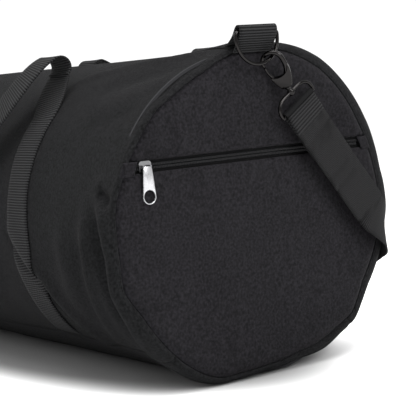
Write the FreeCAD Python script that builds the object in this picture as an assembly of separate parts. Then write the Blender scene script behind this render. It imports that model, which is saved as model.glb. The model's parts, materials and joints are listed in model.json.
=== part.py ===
import FreeCAD, Part
import math
import os

from FreeCAD import Vector

# Barrel duffel bag. Millimetres, X along the barrel, +X at the pocket end, +Z up, and the
# origin at the middle of the flat strip of base that the bag rests on.

# Driving dimensions
BAG_LENGTH = 580.0          # along the barrel, over both end panels
BAG_RADIUS = 145.0          # outside of the barrel's fabric
BASE_FLAT = 60.0            # width of the flat that the weight presses into the base
FABRIC = 1.8                # padded, lined canvas
SEAM_ANGLE = 138.0          # base seam, measured from the top of the barrel
BINDING = 2.4               # bound seam allowance inside each end
WEB = 1.5                   # webbing thickness
WEB_GAP = 0.35              # air between two pieces of webbing that only touch

HANDLE_WIDTH = 35.0
HANDLE_SPREAD = 122.0       # handle strips stand this far each side of the middle
HANDLE_SEWN_TOP = 50.0      # angle where the strips leave the barrel
HANDLE_CREST = 32.0         # angle where the free loops fold over and hang
CREST_LIFT = 12.0           # height of the crest over the barrel
CREST_LEAN = 10.0           # how far the legs lean in towards the middle at the crest
CREST_RADIUS = 11.0         # the fold at the crest
HANDLE_DROP = 92.0          # from the crest to the bottom of the hanging loop
HANDLE_LIFT = 24.0          # how far the hanging loop stands off the barrel

MOUTH_HALF = 225.0          # half the length of the zipped mouth
FLAP_HINGE = 66.0           # the two flaps fold up about lines this far from the zip
FLAP_HINGE_HALF = 112.0     # half the length of each fold line
FLAP_GAP = 1.0              # cut between a flap and the panel round it
FABRIC_TO_ZIP = 9.0         # from the fabric's edge to the middle of a zip
ZIP_END = 27.0              # zip past the end of the mouth

COIL_HALF = 2.5             # zip coil, from its middle to its edge
COIL_SLIT = 0.6             # half the slit that the slider's web runs in
COIL_BELOW, COIL_ABOVE = 1.6, 0.6
TAPE_WIDTH = 13.0
TAB_CLOTH = 1.0             # cloth tabs over the ends of the zips
TAPE = 1.0
RUN = 0.4                   # running clearance inside a slider
PLATE = 1.0                 # slider plates
SLIDER_LENGTH, SLIDER_WIDTH = 12.0, 9.6
PIN_HEIGHT = 4.0            # pull's hinge over the inside face of the fabric
PIN_RADIUS = 0.8
PULL_LENGTH, PULL_TOP, PULL_BOTTOM = 31.0, 9.5, 13.5
PULL_PLATE = 1.5
PULL_HOLE = 5.5
PULL_RIM = 2.5              # metal below the pull's hole
PULL_NECK = 6.0             # the pull widens from its knuckle over this length
KNUCKLE_HALF, KNUCKLE_WALL = 2.7, 1.0
GROOVE, GROOVE_PITCH, GROOVES = 1.0, 2.2, 4
POST_SPAN, POST = 3.0, 1.4  # slider's two posts, from the middle, and their width

POCKET_ZIP_RISE = 54.0      # pocket zip over the barrel's axis
POCKET_GAP = 3.6            # empty pocket, front panel to back panel
POCKET_LIP = 6.5            # end panels' cut edges, from the middle of the pocket zip
POCKET_TAB_FRONT, POCKET_TAB_BACK = 6.0, 9.0   # cloth tabs over the pocket zip's two ends
POCKET_TRAVEL = 146.0       # slider travel as far as the shoulder strap
POCKET_INSET = 21.6         # closed slider's place, in from the barrel at the zip's height

TAB_WIDTH = 40.0            # ring tabs
TAB_OFFSET = 4.0            # ring tabs' middle, across the end
TAB_RISE, TAB_OUT = 14.0, 11.0   # ring bar over the seam and out from the end
WIRE = 3.5                  # D-ring wire
RING_RADIUS = 22.5
RING_LEG = 5.5              # straight sides of the D between its bar and its half circle

STRAP_WIDTH = 38.0
HOOK_PLACE = 36.0           # hook's place round the ring, from its lowest point
HOOK_TILT = 34.0            # hook's lean from the vertical
HOOK_ROLL = 53.0            # hook's turn about its own length
EYE_RADIUS = 7.0            # inside of the hook's eye
HOOK_WIRE = 4.2
HOOK_SLACK = 1.2            # room over the ring's wire inside the eye
EYE_RISE = 3.0              # the eye's round crown is centred this far over the eye's centre
ARM_BEND = 7.0              # the arm's bend into the foot
FOOT_THICK = 5.6
HOOK_NECK = 23.5            # eye centre to the foot of the hook
GATE_WIRE = 2.6
GATE_GAP = 0.4
GATE_FOOT, GATE_DROP = 7.0, 11.6   # gate's pin, from the hook's middle line and below the eye's centre
PIN_HOLE, PIN_WIRE, GATE_BORE = 0.9, 0.9, 0.95
LOOP_WIRE = 3.4
SWIVEL_RADIUS = 1.7
SWIVEL_CLEAR = 0.08
BOSS_RADIUS, BOSS_LENGTH = 3.4, 5.0   # loop's boss, round the swivel stud
BOSS_DROP = 6.0             # loop's top bar below the hook's foot
BOSS_BELOW = 2.2            # boss below the loop's top bar
STUD_HEAD, STUD_HEAD_LENGTH, STUD_COLLAR = 2.8, 1.2, 3.0
LOOP_SHOULDER = 11.0        # loop's top bar, short of its sides
LOOP_RISE = 7.0             # loop's sides over its lower bar
LOOP_BENDS = (4.5, 6.0)     # the loop's bends, lower and upper
LOOP_DROP = 43.0            # eye centre to the loop's bar
STRAP_TILT = 37.0           # strap's lean from the vertical on each end
STRAP_STANDOFF = 12.0       # strap's middle out from the end panels
STRAP_TURN = 30.0           # radius of the strap's turn round the edge
STRAP_SIDE = 9.0            # strap's middle out from the side, at the axis
STRAP_SAG = 22.0            # lowest middle of the strap over the floor
STRAP_STEPS = 8             # stations along the strap's straight run on an end
STRAP_EASE = 14.0           # the strap follows the hook's lean this far
STRAP_WAIST = 8.0           # the strap lies this much closer at the middle of the back
FOLD_SEWN = 46.0            # doubled, sewn end of the strap
FOLD_EASE = 16.0            # the two layers meet this far from the loop's bar
ADJUSTER_BACK = 22.0        # adjuster's middle, short of the strap's turn round the edge
ADJUSTER_TAIL = 14.0        # strap past the adjuster's middle bar
ADJUSTER_BAR = 2.8
ADJUSTER_PLATE = 1.8
ADJUSTER_HALF = 13.0        # half the adjuster's length along the strap

# Derived sizes
HALF = BAG_LENGTH / 2
AXIS = math.sqrt(BAG_RADIUS ** 2 - (BASE_FLAT / 2) ** 2)
INNER = BAG_RADIUS - FABRIC
PANEL_IN = HALF - FABRIC                  # inside face of the end panels
CLEAR = 0.3
POCKET_START = POCKET_INSET - math.sqrt(BAG_RADIUS ** 2 - POCKET_ZIP_RISE ** 2)
FOLD_RADIUS = CREST_RADIUS - WEB - WEB_GAP   # the loop folds over just clear of its strips
WINDOW = MOUTH_HALF + ZIP_END - 4.0          # zip shows as far as this
BAR = Vector(HALF + TAB_OUT, TAB_OFFSET, AXIS + BAG_RADIUS + TAB_RISE)
EYE_TOP = EYE_RISE + EYE_RADIUS              # inside of the eye's crown, over the eye's centre
ARM = EYE_RADIUS + HOOK_WIRE / 2
GATE_PIVOT = Vector(-GATE_FOOT, 0, -GATE_DROP)
X, Y, Z = Vector(1, 0, 0), Vector(0, 1, 0), Vector(0, 0, 1)
NODES = {}


def keep(name, shape):
    """Store one node, as one solid or a group of separate solids."""
    shape = shape.removeSplitter() if len(shape.Solids) == 1 else shape
    if not shape.Solids or not shape.isValid():
        raise ValueError(name + " isn't a valid solid")
    NODES[name] = shape.Solids[0] if len(shape.Solids) == 1 else Part.makeCompound(shape.Solids)


def box(x0, x1, y0, y1, z0, z1):
    return Part.makeBox(x1 - x0, y1 - y0, z1 - z0, Vector(x0, y0, z0))


def fused(shapes):
    return shapes[0].fuse(shapes[1:]) if len(shapes) > 1 else shapes[0]


def around(angle, radius=BAG_RADIUS, x=0.0):
    """Point on the barrel: angle in degrees from the top, positive towards -Y (the front)."""
    a = math.radians(angle)
    return Vector(x, -radius * math.sin(a), AXIS + radius * math.cos(a))


def angle_at(y, radius=BAG_RADIUS):
    return math.degrees(math.asin(-y / radius))


def disc(radius, floor, x0, x1):
    """Slice of the barrel: a cylinder along X with its underside cut flat."""
    body = Part.makeCylinder(radius, x1 - x0, Vector(x0, 0, AXIS), X)
    return body.cut(box(x0 - 1, x1 + 1, -radius - 1, radius + 1, -radius, floor))


def band(r_in, r_out, x0, x1, a0, a1):
    """Curved strip of the barrel between two radii, two X places and two angles."""
    mid = (a0 + a1) / 2
    arcs = [Part.Arc(around(a0, r, x0), around(mid, r, x0), around(a1, r, x0)).toShape()
            for r in (r_in, r_out)]
    sides = [Part.makeLine(around(a, r_in, x0), around(a, r_out, x0)) for a in (a0, a1)]
    wire = Part.Wire([arcs[0], sides[1], arcs[1], sides[0]])
    return Part.Face(wire).extrude(Vector(x1 - x0, 0, 0))


def prism_z(points, z0, z1):
    """Upright prism over a polygon in the XY plane."""
    corners = [Vector(px, py, z0) for px, py in points]
    return Part.Face(Part.makePolygon(corners + corners[:1])).extrude(Vector(0, 0, z1 - z0))


def ribbon(stations, width, thick):
    """Webbing through stations of (middle, unit width direction, unit face normal)."""
    rings = []
    for middle, across, normal in stations:
        w, t = across * (width / 2), normal * (thick / 2)
        rings.append([middle - w - t, middle + w - t, middle + w + t, middle - w + t])
    faces = [flat_face(rings[0]), flat_face(rings[-1])]
    for near, far in zip(rings, rings[1:]):
        for i in range(4):
            j = (i + 1) % 4
            faces.append(flat_face([near[i], near[j], far[j]]))
            faces.append(flat_face([near[i], far[j], far[i]]))
    solid = Part.Solid(Part.Shell(faces))
    return solid if solid.Volume > 0 else solid.reversed()


def flat_face(points):
    return Part.Face(Part.makePolygon(points + points[:1]))


def along(points, normals):
    """Stations on a path, with the width direction square to the path and the normal."""
    stations = []
    for i, (point, normal) in enumerate(zip(points, normals)):
        ahead = points[min(i + 1, len(points) - 1)] - points[max(i - 1, 0)]
        ahead = Vector(ahead).normalize()
        across = ahead.cross(normal).normalize()
        stations.append((point, across, across.cross(ahead).normalize()))
    return stations


def rod(points, wire, bends):
    """Round wire through points, with a bend radius at each inner point."""
    edges, start = [], points[0]
    for before, corner, after, bend in zip(points, points[1:], points[2:], bends):
        back, on = (before - corner).normalize(), (after - corner).normalize()
        half = back.getAngle(on) / 2
        leg = bend / math.tan(half)
        centre = corner + (back + on).normalize() * (bend / math.sin(half))
        middle = centre + (corner - centre).normalize() * bend
        first, last = corner + back * leg, corner + on * leg
        edges += [Part.makeLine(start, first), Part.Arc(first, middle, last).toShape()]
        start = last
    edges.append(Part.makeLine(start, points[-1]))
    profile = Part.Wire(Part.makeCircle(wire / 2, points[0], points[1] - points[0]))
    return Part.Wire(edges).makePipeShell([profile], True, False)


def placed(shape, origin, x_axis, y_axis, z_axis):
    """Copy of a shape drawn in a local frame, moved to that frame's place."""
    m = FreeCAD.Matrix(x_axis.x, y_axis.x, z_axis.x, origin.x, x_axis.y, y_axis.y, z_axis.y, origin.y,
                       x_axis.z, y_axis.z, z_axis.z, origin.z, 0, 0, 0, 1)
    return shape.transformed(m, True)


def mirrored(shape):
    """The same piece at the -X end."""
    return shape.mirror(Vector(0, 0, 0), X)


# Barrel
def flap_outline(side, grow):
    """Corners of a mouth flap seen from above: short at its fold, long at the zip."""
    slant = math.hypot(MOUTH_HALF - FLAP_HINGE_HALF, FLAP_HINGE)
    extra = grow * slant / FLAP_HINGE
    run = (MOUTH_HALF - FLAP_HINGE_HALF) / FLAP_HINGE
    low, high = FLAP_HINGE + grow, -1.0 if grow else FABRIC_TO_ZIP
    at_low = FLAP_HINGE_HALF + extra - grow * run
    at_high = MOUTH_HALF + extra - high * run
    return [(-at_low, side * low), (at_low, side * low), (at_high, side * high), (-at_high, side * high)]


def barrel():
    shell = disc(BAG_RADIUS, 0, -HALF, HALF).cut(disc(INNER, FABRIC, -HALF - 1, HALF + 1))
    reach = 2 * BAG_RADIUS
    corners = [Vector(-HALF - 1, 0, AXIS)]
    for a in (SEAM_ANGLE, 180, 360 - SEAM_ANGLE):
        p = around(a, reach)
        corners.append(Vector(-HALF - 1, p.y, p.z))
    wedge = Part.Face(Part.makePolygon(corners + corners[:1])).extrude(Vector(BAG_LENGTH + 2, 0, 0))
    keep("base_panel", shell.common(wedge))
    upper = shell.cut(wedge)
    window = box(-WINDOW, WINDOW, -FABRIC_TO_ZIP, FABRIC_TO_ZIP, AXIS, AXIS + BAG_RADIUS + 5)
    for name, side in (("front", -1), ("back", 1)):
        y0, y1 = sorted((0, side * reach))
        half = upper.common(box(-HALF - 1, HALF + 1, y0, y1, 0, 2 * reach))
        cut = prism_z(flap_outline(side, FLAP_GAP), AXIS, AXIS + BAG_RADIUS + 5)
        keep("side_panel_" + name, half.cut(window).cut(cut))
        flap = upper.common(prism_z(flap_outline(side, 0), AXIS, AXIS + BAG_RADIUS + 5))
        keep("mouth_flap_" + name, flap)
    for name, end in (("pocket_end", 1), ("plain_end", -1)):
        ring = disc(INNER, FABRIC, PANEL_IN - BINDING - POCKET_GAP - 4, PANEL_IN - POCKET_GAP - 4)
        hole = disc(INNER - BINDING, FABRIC + BINDING, 0, HALF)
        binding = ring.cut(hole)
        keep("seam_binding_" + name, binding if end > 0 else mirrored(binding))


# Zips: a local frame with X along the zip, Z out of the bag, Z = 0 inside the fabric
def slider(bar_along):
    """Slider: two plates joined by a web, with posts and a bar that carry the pull."""
    half, wide = SLIDER_LENGTH / 2, SLIDER_WIDTH / 2
    low, high = -COIL_BELOW - RUN, COIL_ABOVE + RUN
    web = COIL_SLIT - CLEAR
    parts = [box(-half, half, -wide, wide, low - PLATE, low),
             box(-half, half, -wide, wide, high, high + PLATE),
             box(-half + 1, half - 4, -web, web, low, high)]
    parts[0:2] = [p.makeFillet(2.4, [e for e in p.Edges if abs(e.tangentAt(0).z) > 0.9]) for p in parts[0:2]]
    for s in (-1, 1):
        y0, y1 = sorted((s * POST_SPAN, s * (POST_SPAN + POST)))
        parts.append(box(-1.3, 1.3, y0, y1, high + PLATE, PIN_HEIGHT + 1.2))
    bar = Part.makeCylinder(PIN_RADIUS, 2 * (POST_SPAN + POST), Vector(0, -POST_SPAN - POST, PIN_HEIGHT), Y)
    body = fused(parts + [bar])
    if bar_along:
        plates = fused(parts[:3])
        frame = fused(parts[3:] + [bar])
        frame.rotate(Vector(0, 0, 0), Z, 90)
        body = plates.fuse(frame)
    return body


def pull():
    """Pull: a knuckle round the bar (along Y) and a plate that reaches towards -X."""
    knuckle = Part.makeCylinder(PIN_RADIUS + KNUCKLE_WALL, 2 * KNUCKLE_HALF, Vector(0, -KNUCKLE_HALF, 0), Y)
    wide, shoulder = KNUCKLE_HALF - 0.1, PIN_RADIUS + 1.6
    top, bottom = PULL_TOP / 2, PULL_BOTTOM / 2
    corners = [(-0.3, -wide), (-shoulder, -wide), (-PULL_NECK, -top), (-PULL_LENGTH, -bottom),
               (-PULL_LENGTH, bottom), (-PULL_NECK, top), (-shoulder, wide), (-0.3, wide)]
    plate = prism_z(corners, -PULL_PLATE / 2, PULL_PLATE / 2)
    ends = [e for e in plate.Edges if abs(e.tangentAt(0).z) > 0.9 and e.CenterOfMass.x < -PULL_LENGTH + 1]
    plate = plate.makeFillet(4.0, ends)
    plate = plate.cut(Part.makeCylinder(PULL_HOLE, 9, Vector(-PULL_LENGTH + PULL_HOLE + PULL_RIM, 0, -4), Z))
    body = knuckle.fuse(plate).cut(Part.makeCylinder(PIN_RADIUS + 0.12, 9, Vector(0, -4.5, 0), Y))
    first = -PULL_LENGTH + 2 * PULL_HOLE + PULL_RIM + 1.0
    grooves = []
    for i in range(GROOVES):
        x0 = first + GROOVE_PITCH * i
        for s in (-1, 1):
            face = s * PULL_PLATE / 2
            grooves.append(box(x0, x0 + GROOVE, -3.2, 3.2, face - 0.3, face + 0.3))
    return body.cut(fused(grooves))


def mouth_zip():
    top = AXIS + INNER
    tape_edge = FABRIC_TO_ZIP + TAPE_WIDTH / 2
    for name, side in (("front", -1), ("back", 1)):
        a0, a1 = sorted((angle_at(side * COIL_HALF), angle_at(side * tape_edge)))
        y0, y1 = sorted((side * COIL_SLIT, side * (COIL_HALF + 0.2)))
        reach = MOUTH_HALF - 16.0
        tape = band(INNER - TAPE, INNER, -reach, reach, a0, a1)
        keep("mouth_zip_tape_" + name, tape)
        coil = box(-reach, reach, y0, y1, top - COIL_BELOW, top + COIL_ABOVE)
        keep("mouth_zip_coil_" + name, coil.cut(tape))
    for name, end in (("pocket_end", 1), ("plain_end", -1)):
        halves = []
        for side in (-1, 1):
            a0, a1 = sorted((angle_at(side * COIL_HALF), angle_at(side * (FABRIC_TO_ZIP + 1.5))))
            y0, y1 = sorted((side * COIL_SLIT, side * (COIL_HALF + 0.2)))
            tape = band(INNER - TAPE, INNER, MOUTH_HALF - 4, WINDOW + 4, a0, a1)
            coil = box(MOUTH_HALF - 4, WINDOW, y0, y1, top - COIL_BELOW, top + COIL_ABOVE)
            halves += [tape, coil]
        stop = box(WINDOW - 3, WINDOW, -COIL_HALF - 0.5, COIL_HALF + 0.5, top - COIL_BELOW - 1, top + 1.2)
        piece = fused(halves + [stop])
        keep("mouth_zip_end_" + name, piece if end > 0 else mirrored(piece))
        tab = band(BAG_RADIUS, BAG_RADIUS + TAB_CLOTH, WINDOW - 2, HALF - 8, angle_at(20), angle_at(-20))
        keep("mouth_zip_tab_" + name, tab if end > 0 else mirrored(tab))
    start = -(MOUTH_HALF + 12.0)
    place = (Vector(start, 0, top), X, Y, Z)
    keep("mouth_zip_slider", placed(slider(False), *place))
    keep("mouth_zip_pull", placed(pull(), Vector(start, 0, top + PIN_HEIGHT), X, Y, Z))


def ends():
    level = AXIS + POCKET_ZIP_RISE
    panel = disc(INNER, FABRIC, PANEL_IN, HALF)
    gap = POCKET_LIP
    reach = BAG_RADIUS + 5
    keep("end_upper_panel", panel.common(box(0, HALF + 1, -reach, reach, level + gap, AXIS + reach)))
    keep("pocket_front_panel", panel.common(box(0, HALF + 1, -reach, reach, 0, level - gap)))
    back = PANEL_IN - POCKET_GAP
    keep("pocket_back_panel", disc(INNER, FABRIC, back - FABRIC / 2, back))
    keep("end_panel_plain", mirrored(panel))
    chord = math.sqrt(INNER ** 2 - (POCKET_ZIP_RISE + gap) ** 2)
    frame = (Vector(PANEL_IN, 0, level), Y, Z, X)
    zip_half = chord - 2.0
    for name, side in (("lower", -1), ("upper", 1)):
        y0, y1 = sorted((side * COIL_HALF, side * TAPE_WIDTH))
        tape = box(-zip_half, zip_half, y0, y1, -TAPE, 0)
        inside = disc(INNER, FABRIC, 0, HALF)
        keep("pocket_zip_tape_" + name, placed(tape, *frame).common(inside))
        y0, y1 = sorted((side * COIL_SLIT, side * COIL_HALF))
        coil = box(-zip_half + 6, zip_half - 6, y0, y1, -COIL_BELOW, COIL_ABOVE)
        keep("pocket_zip_coil_" + name, placed(coil, *frame))
    for name, side, long in (("front", -1, POCKET_TAB_FRONT), ("back", 1, POCKET_TAB_BACK)):
        y0, y1 = sorted((side * (zip_half - long), side * (zip_half + 1)))
        tab = box(y0, y1, -gap - 3, gap + 3, FABRIC, FABRIC + TAB_CLOTH)
        keep("pocket_zip_tab_" + name, placed(tab, *frame))
    slider_frame = (Vector(PANEL_IN, POCKET_START, level), Y, Z, X)
    keep("pocket_zip_slider", placed(slider(True), *slider_frame))
    keep("pocket_zip_pull", placed(pull(), Vector(PANEL_IN + PIN_HEIGHT, POCKET_START, level), Z, Y, X * -1))


# Handles
def handle_strip(skin):
    """Front strip at the pocket end: sewn to the barrel, then free and leaning to the crest."""
    points, normals = [], []
    sewn, free = 20, 12
    low = SEAM_ANGLE - 2
    for i in range(sewn + 1):
        a = low + (HANDLE_SEWN_TOP - low) * i / sewn
        points.append(around(a, skin, HANDLE_SPREAD))
        normals.append(outward(a))
    for i in range(1, free + 1):
        t = i / free
        a = HANDLE_SEWN_TOP + (HANDLE_CREST - HANDLE_SEWN_TOP) * t
        points.append(around(a, skin + CREST_LIFT * t * t, HANDLE_SPREAD - CREST_LEAN * t * t * (3 - 2 * t)))
        normals.append(outward(a))
    return ribbon(along(points, normals), HANDLE_WIDTH, WEB)


def outward(angle):
    return around(angle, 1.0) - around(0, 0.0)


def loop_profile(skin):
    """Side view of the hanging loop: round the crest, then down outside its own legs."""
    crest = around(HANDLE_CREST, skin + CREST_LIFT)
    out = outward(HANDLE_CREST)
    up = out.cross(X) * -1
    centre = crest + out * CREST_RADIUS
    low = around(HANDLE_CREST + math.degrees(HANDLE_DROP / BAG_RADIUS), BAG_RADIUS + HANDLE_LIFT)
    turn = [math.pi * i / 24 for i in range(25)]
    points = [centre - out * (FOLD_RADIUS * math.cos(a)) + up * (FOLD_RADIUS * math.sin(a)) for a in turn]
    top = points[-1]
    bulge = top - up * 30 + out * 3
    for i in range(1, 61):
        t = i / 60
        points.append(top * (1 - t) ** 2 + bulge * (2 * t * (1 - t)) + low * t * t)
    return points


def point_at(points, length):
    """Point at a length along a run of points."""
    for p, q in zip(points, points[1:]):
        step = (q - p).Length
        if length <= step:
            return p + (q - p) * (length / step)
        length -= step
    return points[-1]


def handle_loop(skin):
    """Free loop: half an ellipse, laid on the surface that the side view sweeps along X."""
    profile = loop_profile(skin)
    total = sum((q - p).Length for p, q in zip(profile, profile[1:]))
    fold = math.pi * FOLD_RADIUS
    start = HANDLE_SPREAD - CREST_LEAN
    turns = [math.asin(fold * i / 12 / total) for i in range(12)]
    first = math.asin(fold / total)
    turns += [first + (math.pi / 2 - first) * i / 18 for i in range(19)]
    points, normals = [], []
    for turn in turns:
        s = total * math.sin(turn)
        p = point_at(profile, s)
        ahead = (point_at(profile, s + 0.5) - point_at(profile, max(s - 0.5, 0))).normalize()
        if s >= total:
            ahead = (profile[-1] - profile[-2]).normalize()
        points.append(Vector(start * math.cos(turn), p.y, p.z))
        normals.append(ahead.cross(X).normalize())
    half = along(points + [Vector(-points[-2].x, points[-2].y, points[-2].z)], normals + normals[-1:])[:-1]
    other = [(Vector(-p.x, p.y, p.z), Vector(-w.x, w.y, w.z), Vector(-n.x, n.y, n.z))
             for p, w, n in reversed(half[:-1])]
    return ribbon(half + other, HANDLE_WIDTH, WEB)


def handles():
    skin = BAG_RADIUS + CLEAR + WEB / 2
    strip, loop = handle_strip(skin), handle_loop(skin)
    for name, shape in (("front", strip), ("back", strip.mirror(Vector(0, 0, 0), Y))):
        keep("handle_strip_" + name + "_pocket_end", shape)
        keep("handle_strip_" + name + "_plain_end", mirrored(shape))
    keep("handle_loop_front", loop)
    keep("handle_loop_back", loop.mirror(Vector(0, 0, 0), Y))


# Rings, hooks and shoulder strap
def ring_tab():
    """Webbing tab: two layers sewn into the top seam, folded round the ring's bar."""
    inner = WIRE / 2 + 0.15
    outer = inner + WEB
    y0, y1 = TAB_OFFSET - TAB_WIDTH / 2, TAB_OFFSET + TAB_WIDTH / 2
    foot = Vector(HALF - 5, 0, AXIS + BAG_RADIUS + CLEAR)
    lean = Vector(BAR.x - foot.x, 0, BAR.z - foot.z)
    length = lean.Length
    lean.normalize()
    square = Vector(lean.z, 0, -lean.x)
    fold = Part.makeCylinder(outer, y1 - y0, Vector(0, y0, 0), Y).cut(
        Part.makeCylinder(inner, y1 - y0 + 2, Vector(0, y0 - 1, 0), Y))
    fold = fold.common(box(-outer, outer, y0, y1, 0, outer))
    legs = [box(-outer, -inner, y0, y1, -length, 0), box(inner, outer, y0, y1, -length, 0)]
    tab = placed(fused([fold] + legs), Vector(BAR.x, 0, BAR.z), square, Y, lean)
    bag = Part.makeCylinder(BAG_RADIUS, BAG_LENGTH, Vector(-HALF, 0, AXIS), X)
    return tab.cut(bag)


def d_ring():
    """D-ring: a straight bar along Y, two short legs and a half circle that hangs from them."""
    r = WIRE / 2
    reach = RING_RADIUS + WIRE
    arc = Part.makeTorus(RING_RADIUS, r, Vector(0, 0, -RING_LEG), X, 0, 360)
    arc = arc.common(box(-reach, reach, -reach, reach, -reach - RING_LEG, -RING_LEG))
    bar = Part.makeCylinder(r, 2 * RING_RADIUS, Vector(0, -RING_RADIUS, 0), Y)
    legs = [Part.makeCylinder(r, RING_LEG, Vector(0, s * RING_RADIUS, -RING_LEG), Z) for s in (-1, 1)]
    corners = [Part.makeSphere(r, Vector(0, s * RING_RADIUS, 0)) for s in (-1, 1)]
    shape = fused([arc, bar] + legs + corners)
    return placed(shape, BAR, X, Y, Z)


def hook_frame():
    """Place and axes of the hook: origin at the eye's centre, local Z up the hook."""
    a, roll = math.radians(HOOK_TILT), math.radians(HOOK_ROLL)
    place = math.radians(HOOK_PLACE)
    wire = BAR + Vector(0, RING_RADIUS * math.sin(place), -RING_LEG - RING_RADIUS * math.cos(place))
    z_axis = Vector(0, -math.sin(a), math.cos(a))
    flat = Vector(0, math.cos(a), math.sin(a))
    x_axis = (flat * math.cos(roll) + X * math.sin(roll)).normalize()
    y_axis = z_axis.cross(x_axis)
    down = EYE_TOP - WIRE / 2 - HOOK_SLACK
    return wire - z_axis * down, x_axis, y_axis, z_axis, flat


def hook_body():
    """Hook: a thick arm bent over into an eye, on a fan-shaped foot with a swivel bore."""
    nose = Vector(-ARM, 0, EYE_RISE - 1.5)
    arm = [nose, Vector(-ARM, 0, EYE_RISE + ARM), Vector(ARM, 0, EYE_RISE + ARM), Vector(ARM, 0, -6.0),
           Vector(3.5, 0, -15.0)]
    bent = rod(arm, HOOK_WIRE, [ARM - 0.05, ARM - 0.05, ARM_BEND])
    fan = [(-7.6, -9.5), (-2.0, -12.5), (5.0, -11.0), (9.5, -8.5), (9.8, -11.5), (4.2, -HOOK_NECK),
           (-4.2, -HOOK_NECK), (-9.2, -11.5)]
    corners = [Vector(px, -FOOT_THICK / 2, pz) for px, pz in fan]
    foot = Part.Face(Part.makePolygon(corners + corners[:1])).extrude(Vector(0, FOOT_THICK, 0))
    slot = box(-11, -4.6, -GATE_WIRE / 2 - 0.5, GATE_WIRE / 2 + 0.5, -14.2, 0)
    bore = Part.makeCylinder(SWIVEL_RADIUS + SWIVEL_CLEAR, 6.0, Vector(0, 0, -HOOK_NECK - 1), Z)
    pin_hole = Part.makeCylinder(PIN_HOLE, 2 * FOOT_THICK, GATE_PIVOT - Y * FOOT_THICK, Y)
    return bent.fuse(foot).cut(slot).cut(bore).cut(pin_hole)


def gate():
    """Sprung gate: a thin wire from its pivot to just under the hook's nose."""
    top = Vector(-ARM + 0.4, 0, EYE_RISE - 1.5 - GATE_GAP)
    axis = top - GATE_PIVOT
    stem = Part.makeCylinder(GATE_WIRE / 2, axis.Length, GATE_PIVOT, axis)
    wide = GATE_WIRE / 2 + 0.2
    knuckle = Part.makeCylinder(2.2, 2 * wide, GATE_PIVOT - Y * wide, Y)
    level = box(-20, 20, -9, 9, top.z, 20)
    return stem.fuse(knuckle).cut(level).cut(Part.makeCylinder(GATE_BORE, 9, GATE_PIVOT - Y * 4, Y))


def gate_pin():
    return Part.makeCylinder(PIN_WIRE, FOOT_THICK, GATE_PIVOT - Y * (FOOT_THICK / 2), Y)


def strap_loop():
    """Loop that carries the strap: its boss takes the swivel stud, its bar takes the strap."""
    half = STRAP_WIDTH / 2 + 0.8 + LOOP_WIRE / 2
    top, inner, rise = -HOOK_NECK - BOSS_DROP, half - LOOP_SHOULDER, -LOOP_DROP + LOOP_RISE
    points = [Vector(-half, 0, -LOOP_DROP), Vector(-half, 0, rise), Vector(-inner, 0, top),
              Vector(inner, 0, top), Vector(half, 0, rise), Vector(half, 0, -LOOP_DROP)]
    bail = rod(points, LOOP_WIRE, [LOOP_BENDS[0], LOOP_BENDS[1], LOOP_BENDS[1], LOOP_BENDS[0]])
    bar = Part.makeCylinder(LOOP_WIRE / 2, 2 * half, Vector(-half, 0, -LOOP_DROP), X)
    ends = [Part.makeSphere(LOOP_WIRE / 2, Vector(s * half, 0, -LOOP_DROP)) for s in (-1, 1)]
    boss = Part.makeCylinder(BOSS_RADIUS, BOSS_LENGTH, Vector(0, 0, top - BOSS_BELOW), Z)
    bore = Part.makeCylinder(SWIVEL_RADIUS, 12, Vector(0, 0, top - 4), Z)
    return fused([bail, bar, boss] + ends).cut(bore)


def swivel_stud():
    """Stud through the loop's boss, with a collar under the hook and a head under the boss."""
    foot = -HOOK_NECK - BOSS_DROP - BOSS_BELOW
    end = Vector(0, 0, foot - STUD_HEAD_LENGTH)
    shank = Part.makeCylinder(SWIVEL_RADIUS, -HOOK_NECK + 4.0 - end.z, end, Z)
    head = Part.makeCylinder(STUD_HEAD, STUD_HEAD_LENGTH, end, Z)
    low = foot + BOSS_LENGTH
    collar = Part.makeCylinder(STUD_COLLAR, -HOOK_NECK - CLEAR - low, Vector(0, 0, low), Z)
    return fused([shank, head, collar])


def strap_path():
    """Middle of the strap from the pocket end's bar to the middle of the bag, and its normals."""
    origin, _, _, z_axis, flat = hook_frame()
    bar = origin - z_axis * LOOP_DROP
    lean = math.radians(STRAP_TILT)
    down = Vector(0, math.sin(lean), -math.cos(lean))
    face = HALF + STRAP_STANDOFF
    start = Vector(bar.x, bar.y, bar.z) + X * (LOOP_WIRE / 2 + 0.15 + WEB / 2)
    side = BAG_RADIUS + STRAP_SIDE
    turn_y = side - STRAP_TURN
    points, normals = [start], [X]
    run = (turn_y - start.y) / math.sin(lean)
    for i in range(1, STRAP_STEPS + 1):
        p = start - z_axis * STRAP_EASE if i == 1 else start + down * (run * i / STRAP_STEPS)
        t = min(1.0, 2 * i / STRAP_STEPS)
        points.append(Vector(start.x * (1 - t) + face * t, p.y, p.z))
        normals.append(X)
    corner = points[-1]
    centre = Vector(face - STRAP_TURN, turn_y, 0)
    slope = STRAP_TURN / math.tan(lean)
    z = corner.z
    for i in range(1, 11):
        a = math.radians(9 * i)
        fall = slope * (math.sin(a) * 0.75 - 0.1 * math.sin(2 * a))
        normal = Vector(math.cos(a), math.sin(a), 0)
        points.append(centre + normal * STRAP_TURN + Z * (z - fall))
        normals.append(normal)
    last = points[-1]
    for i in range(1, 17):
        t = i / 16
        sag = STRAP_SAG + (last.z - STRAP_SAG) * (1 - t) ** 2
        points.append(Vector(last.x * (1 - t), last.y - STRAP_WAIST * math.sin(math.pi * t / 2), sag))
        normals.append(Y)
    return points, normals


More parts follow.
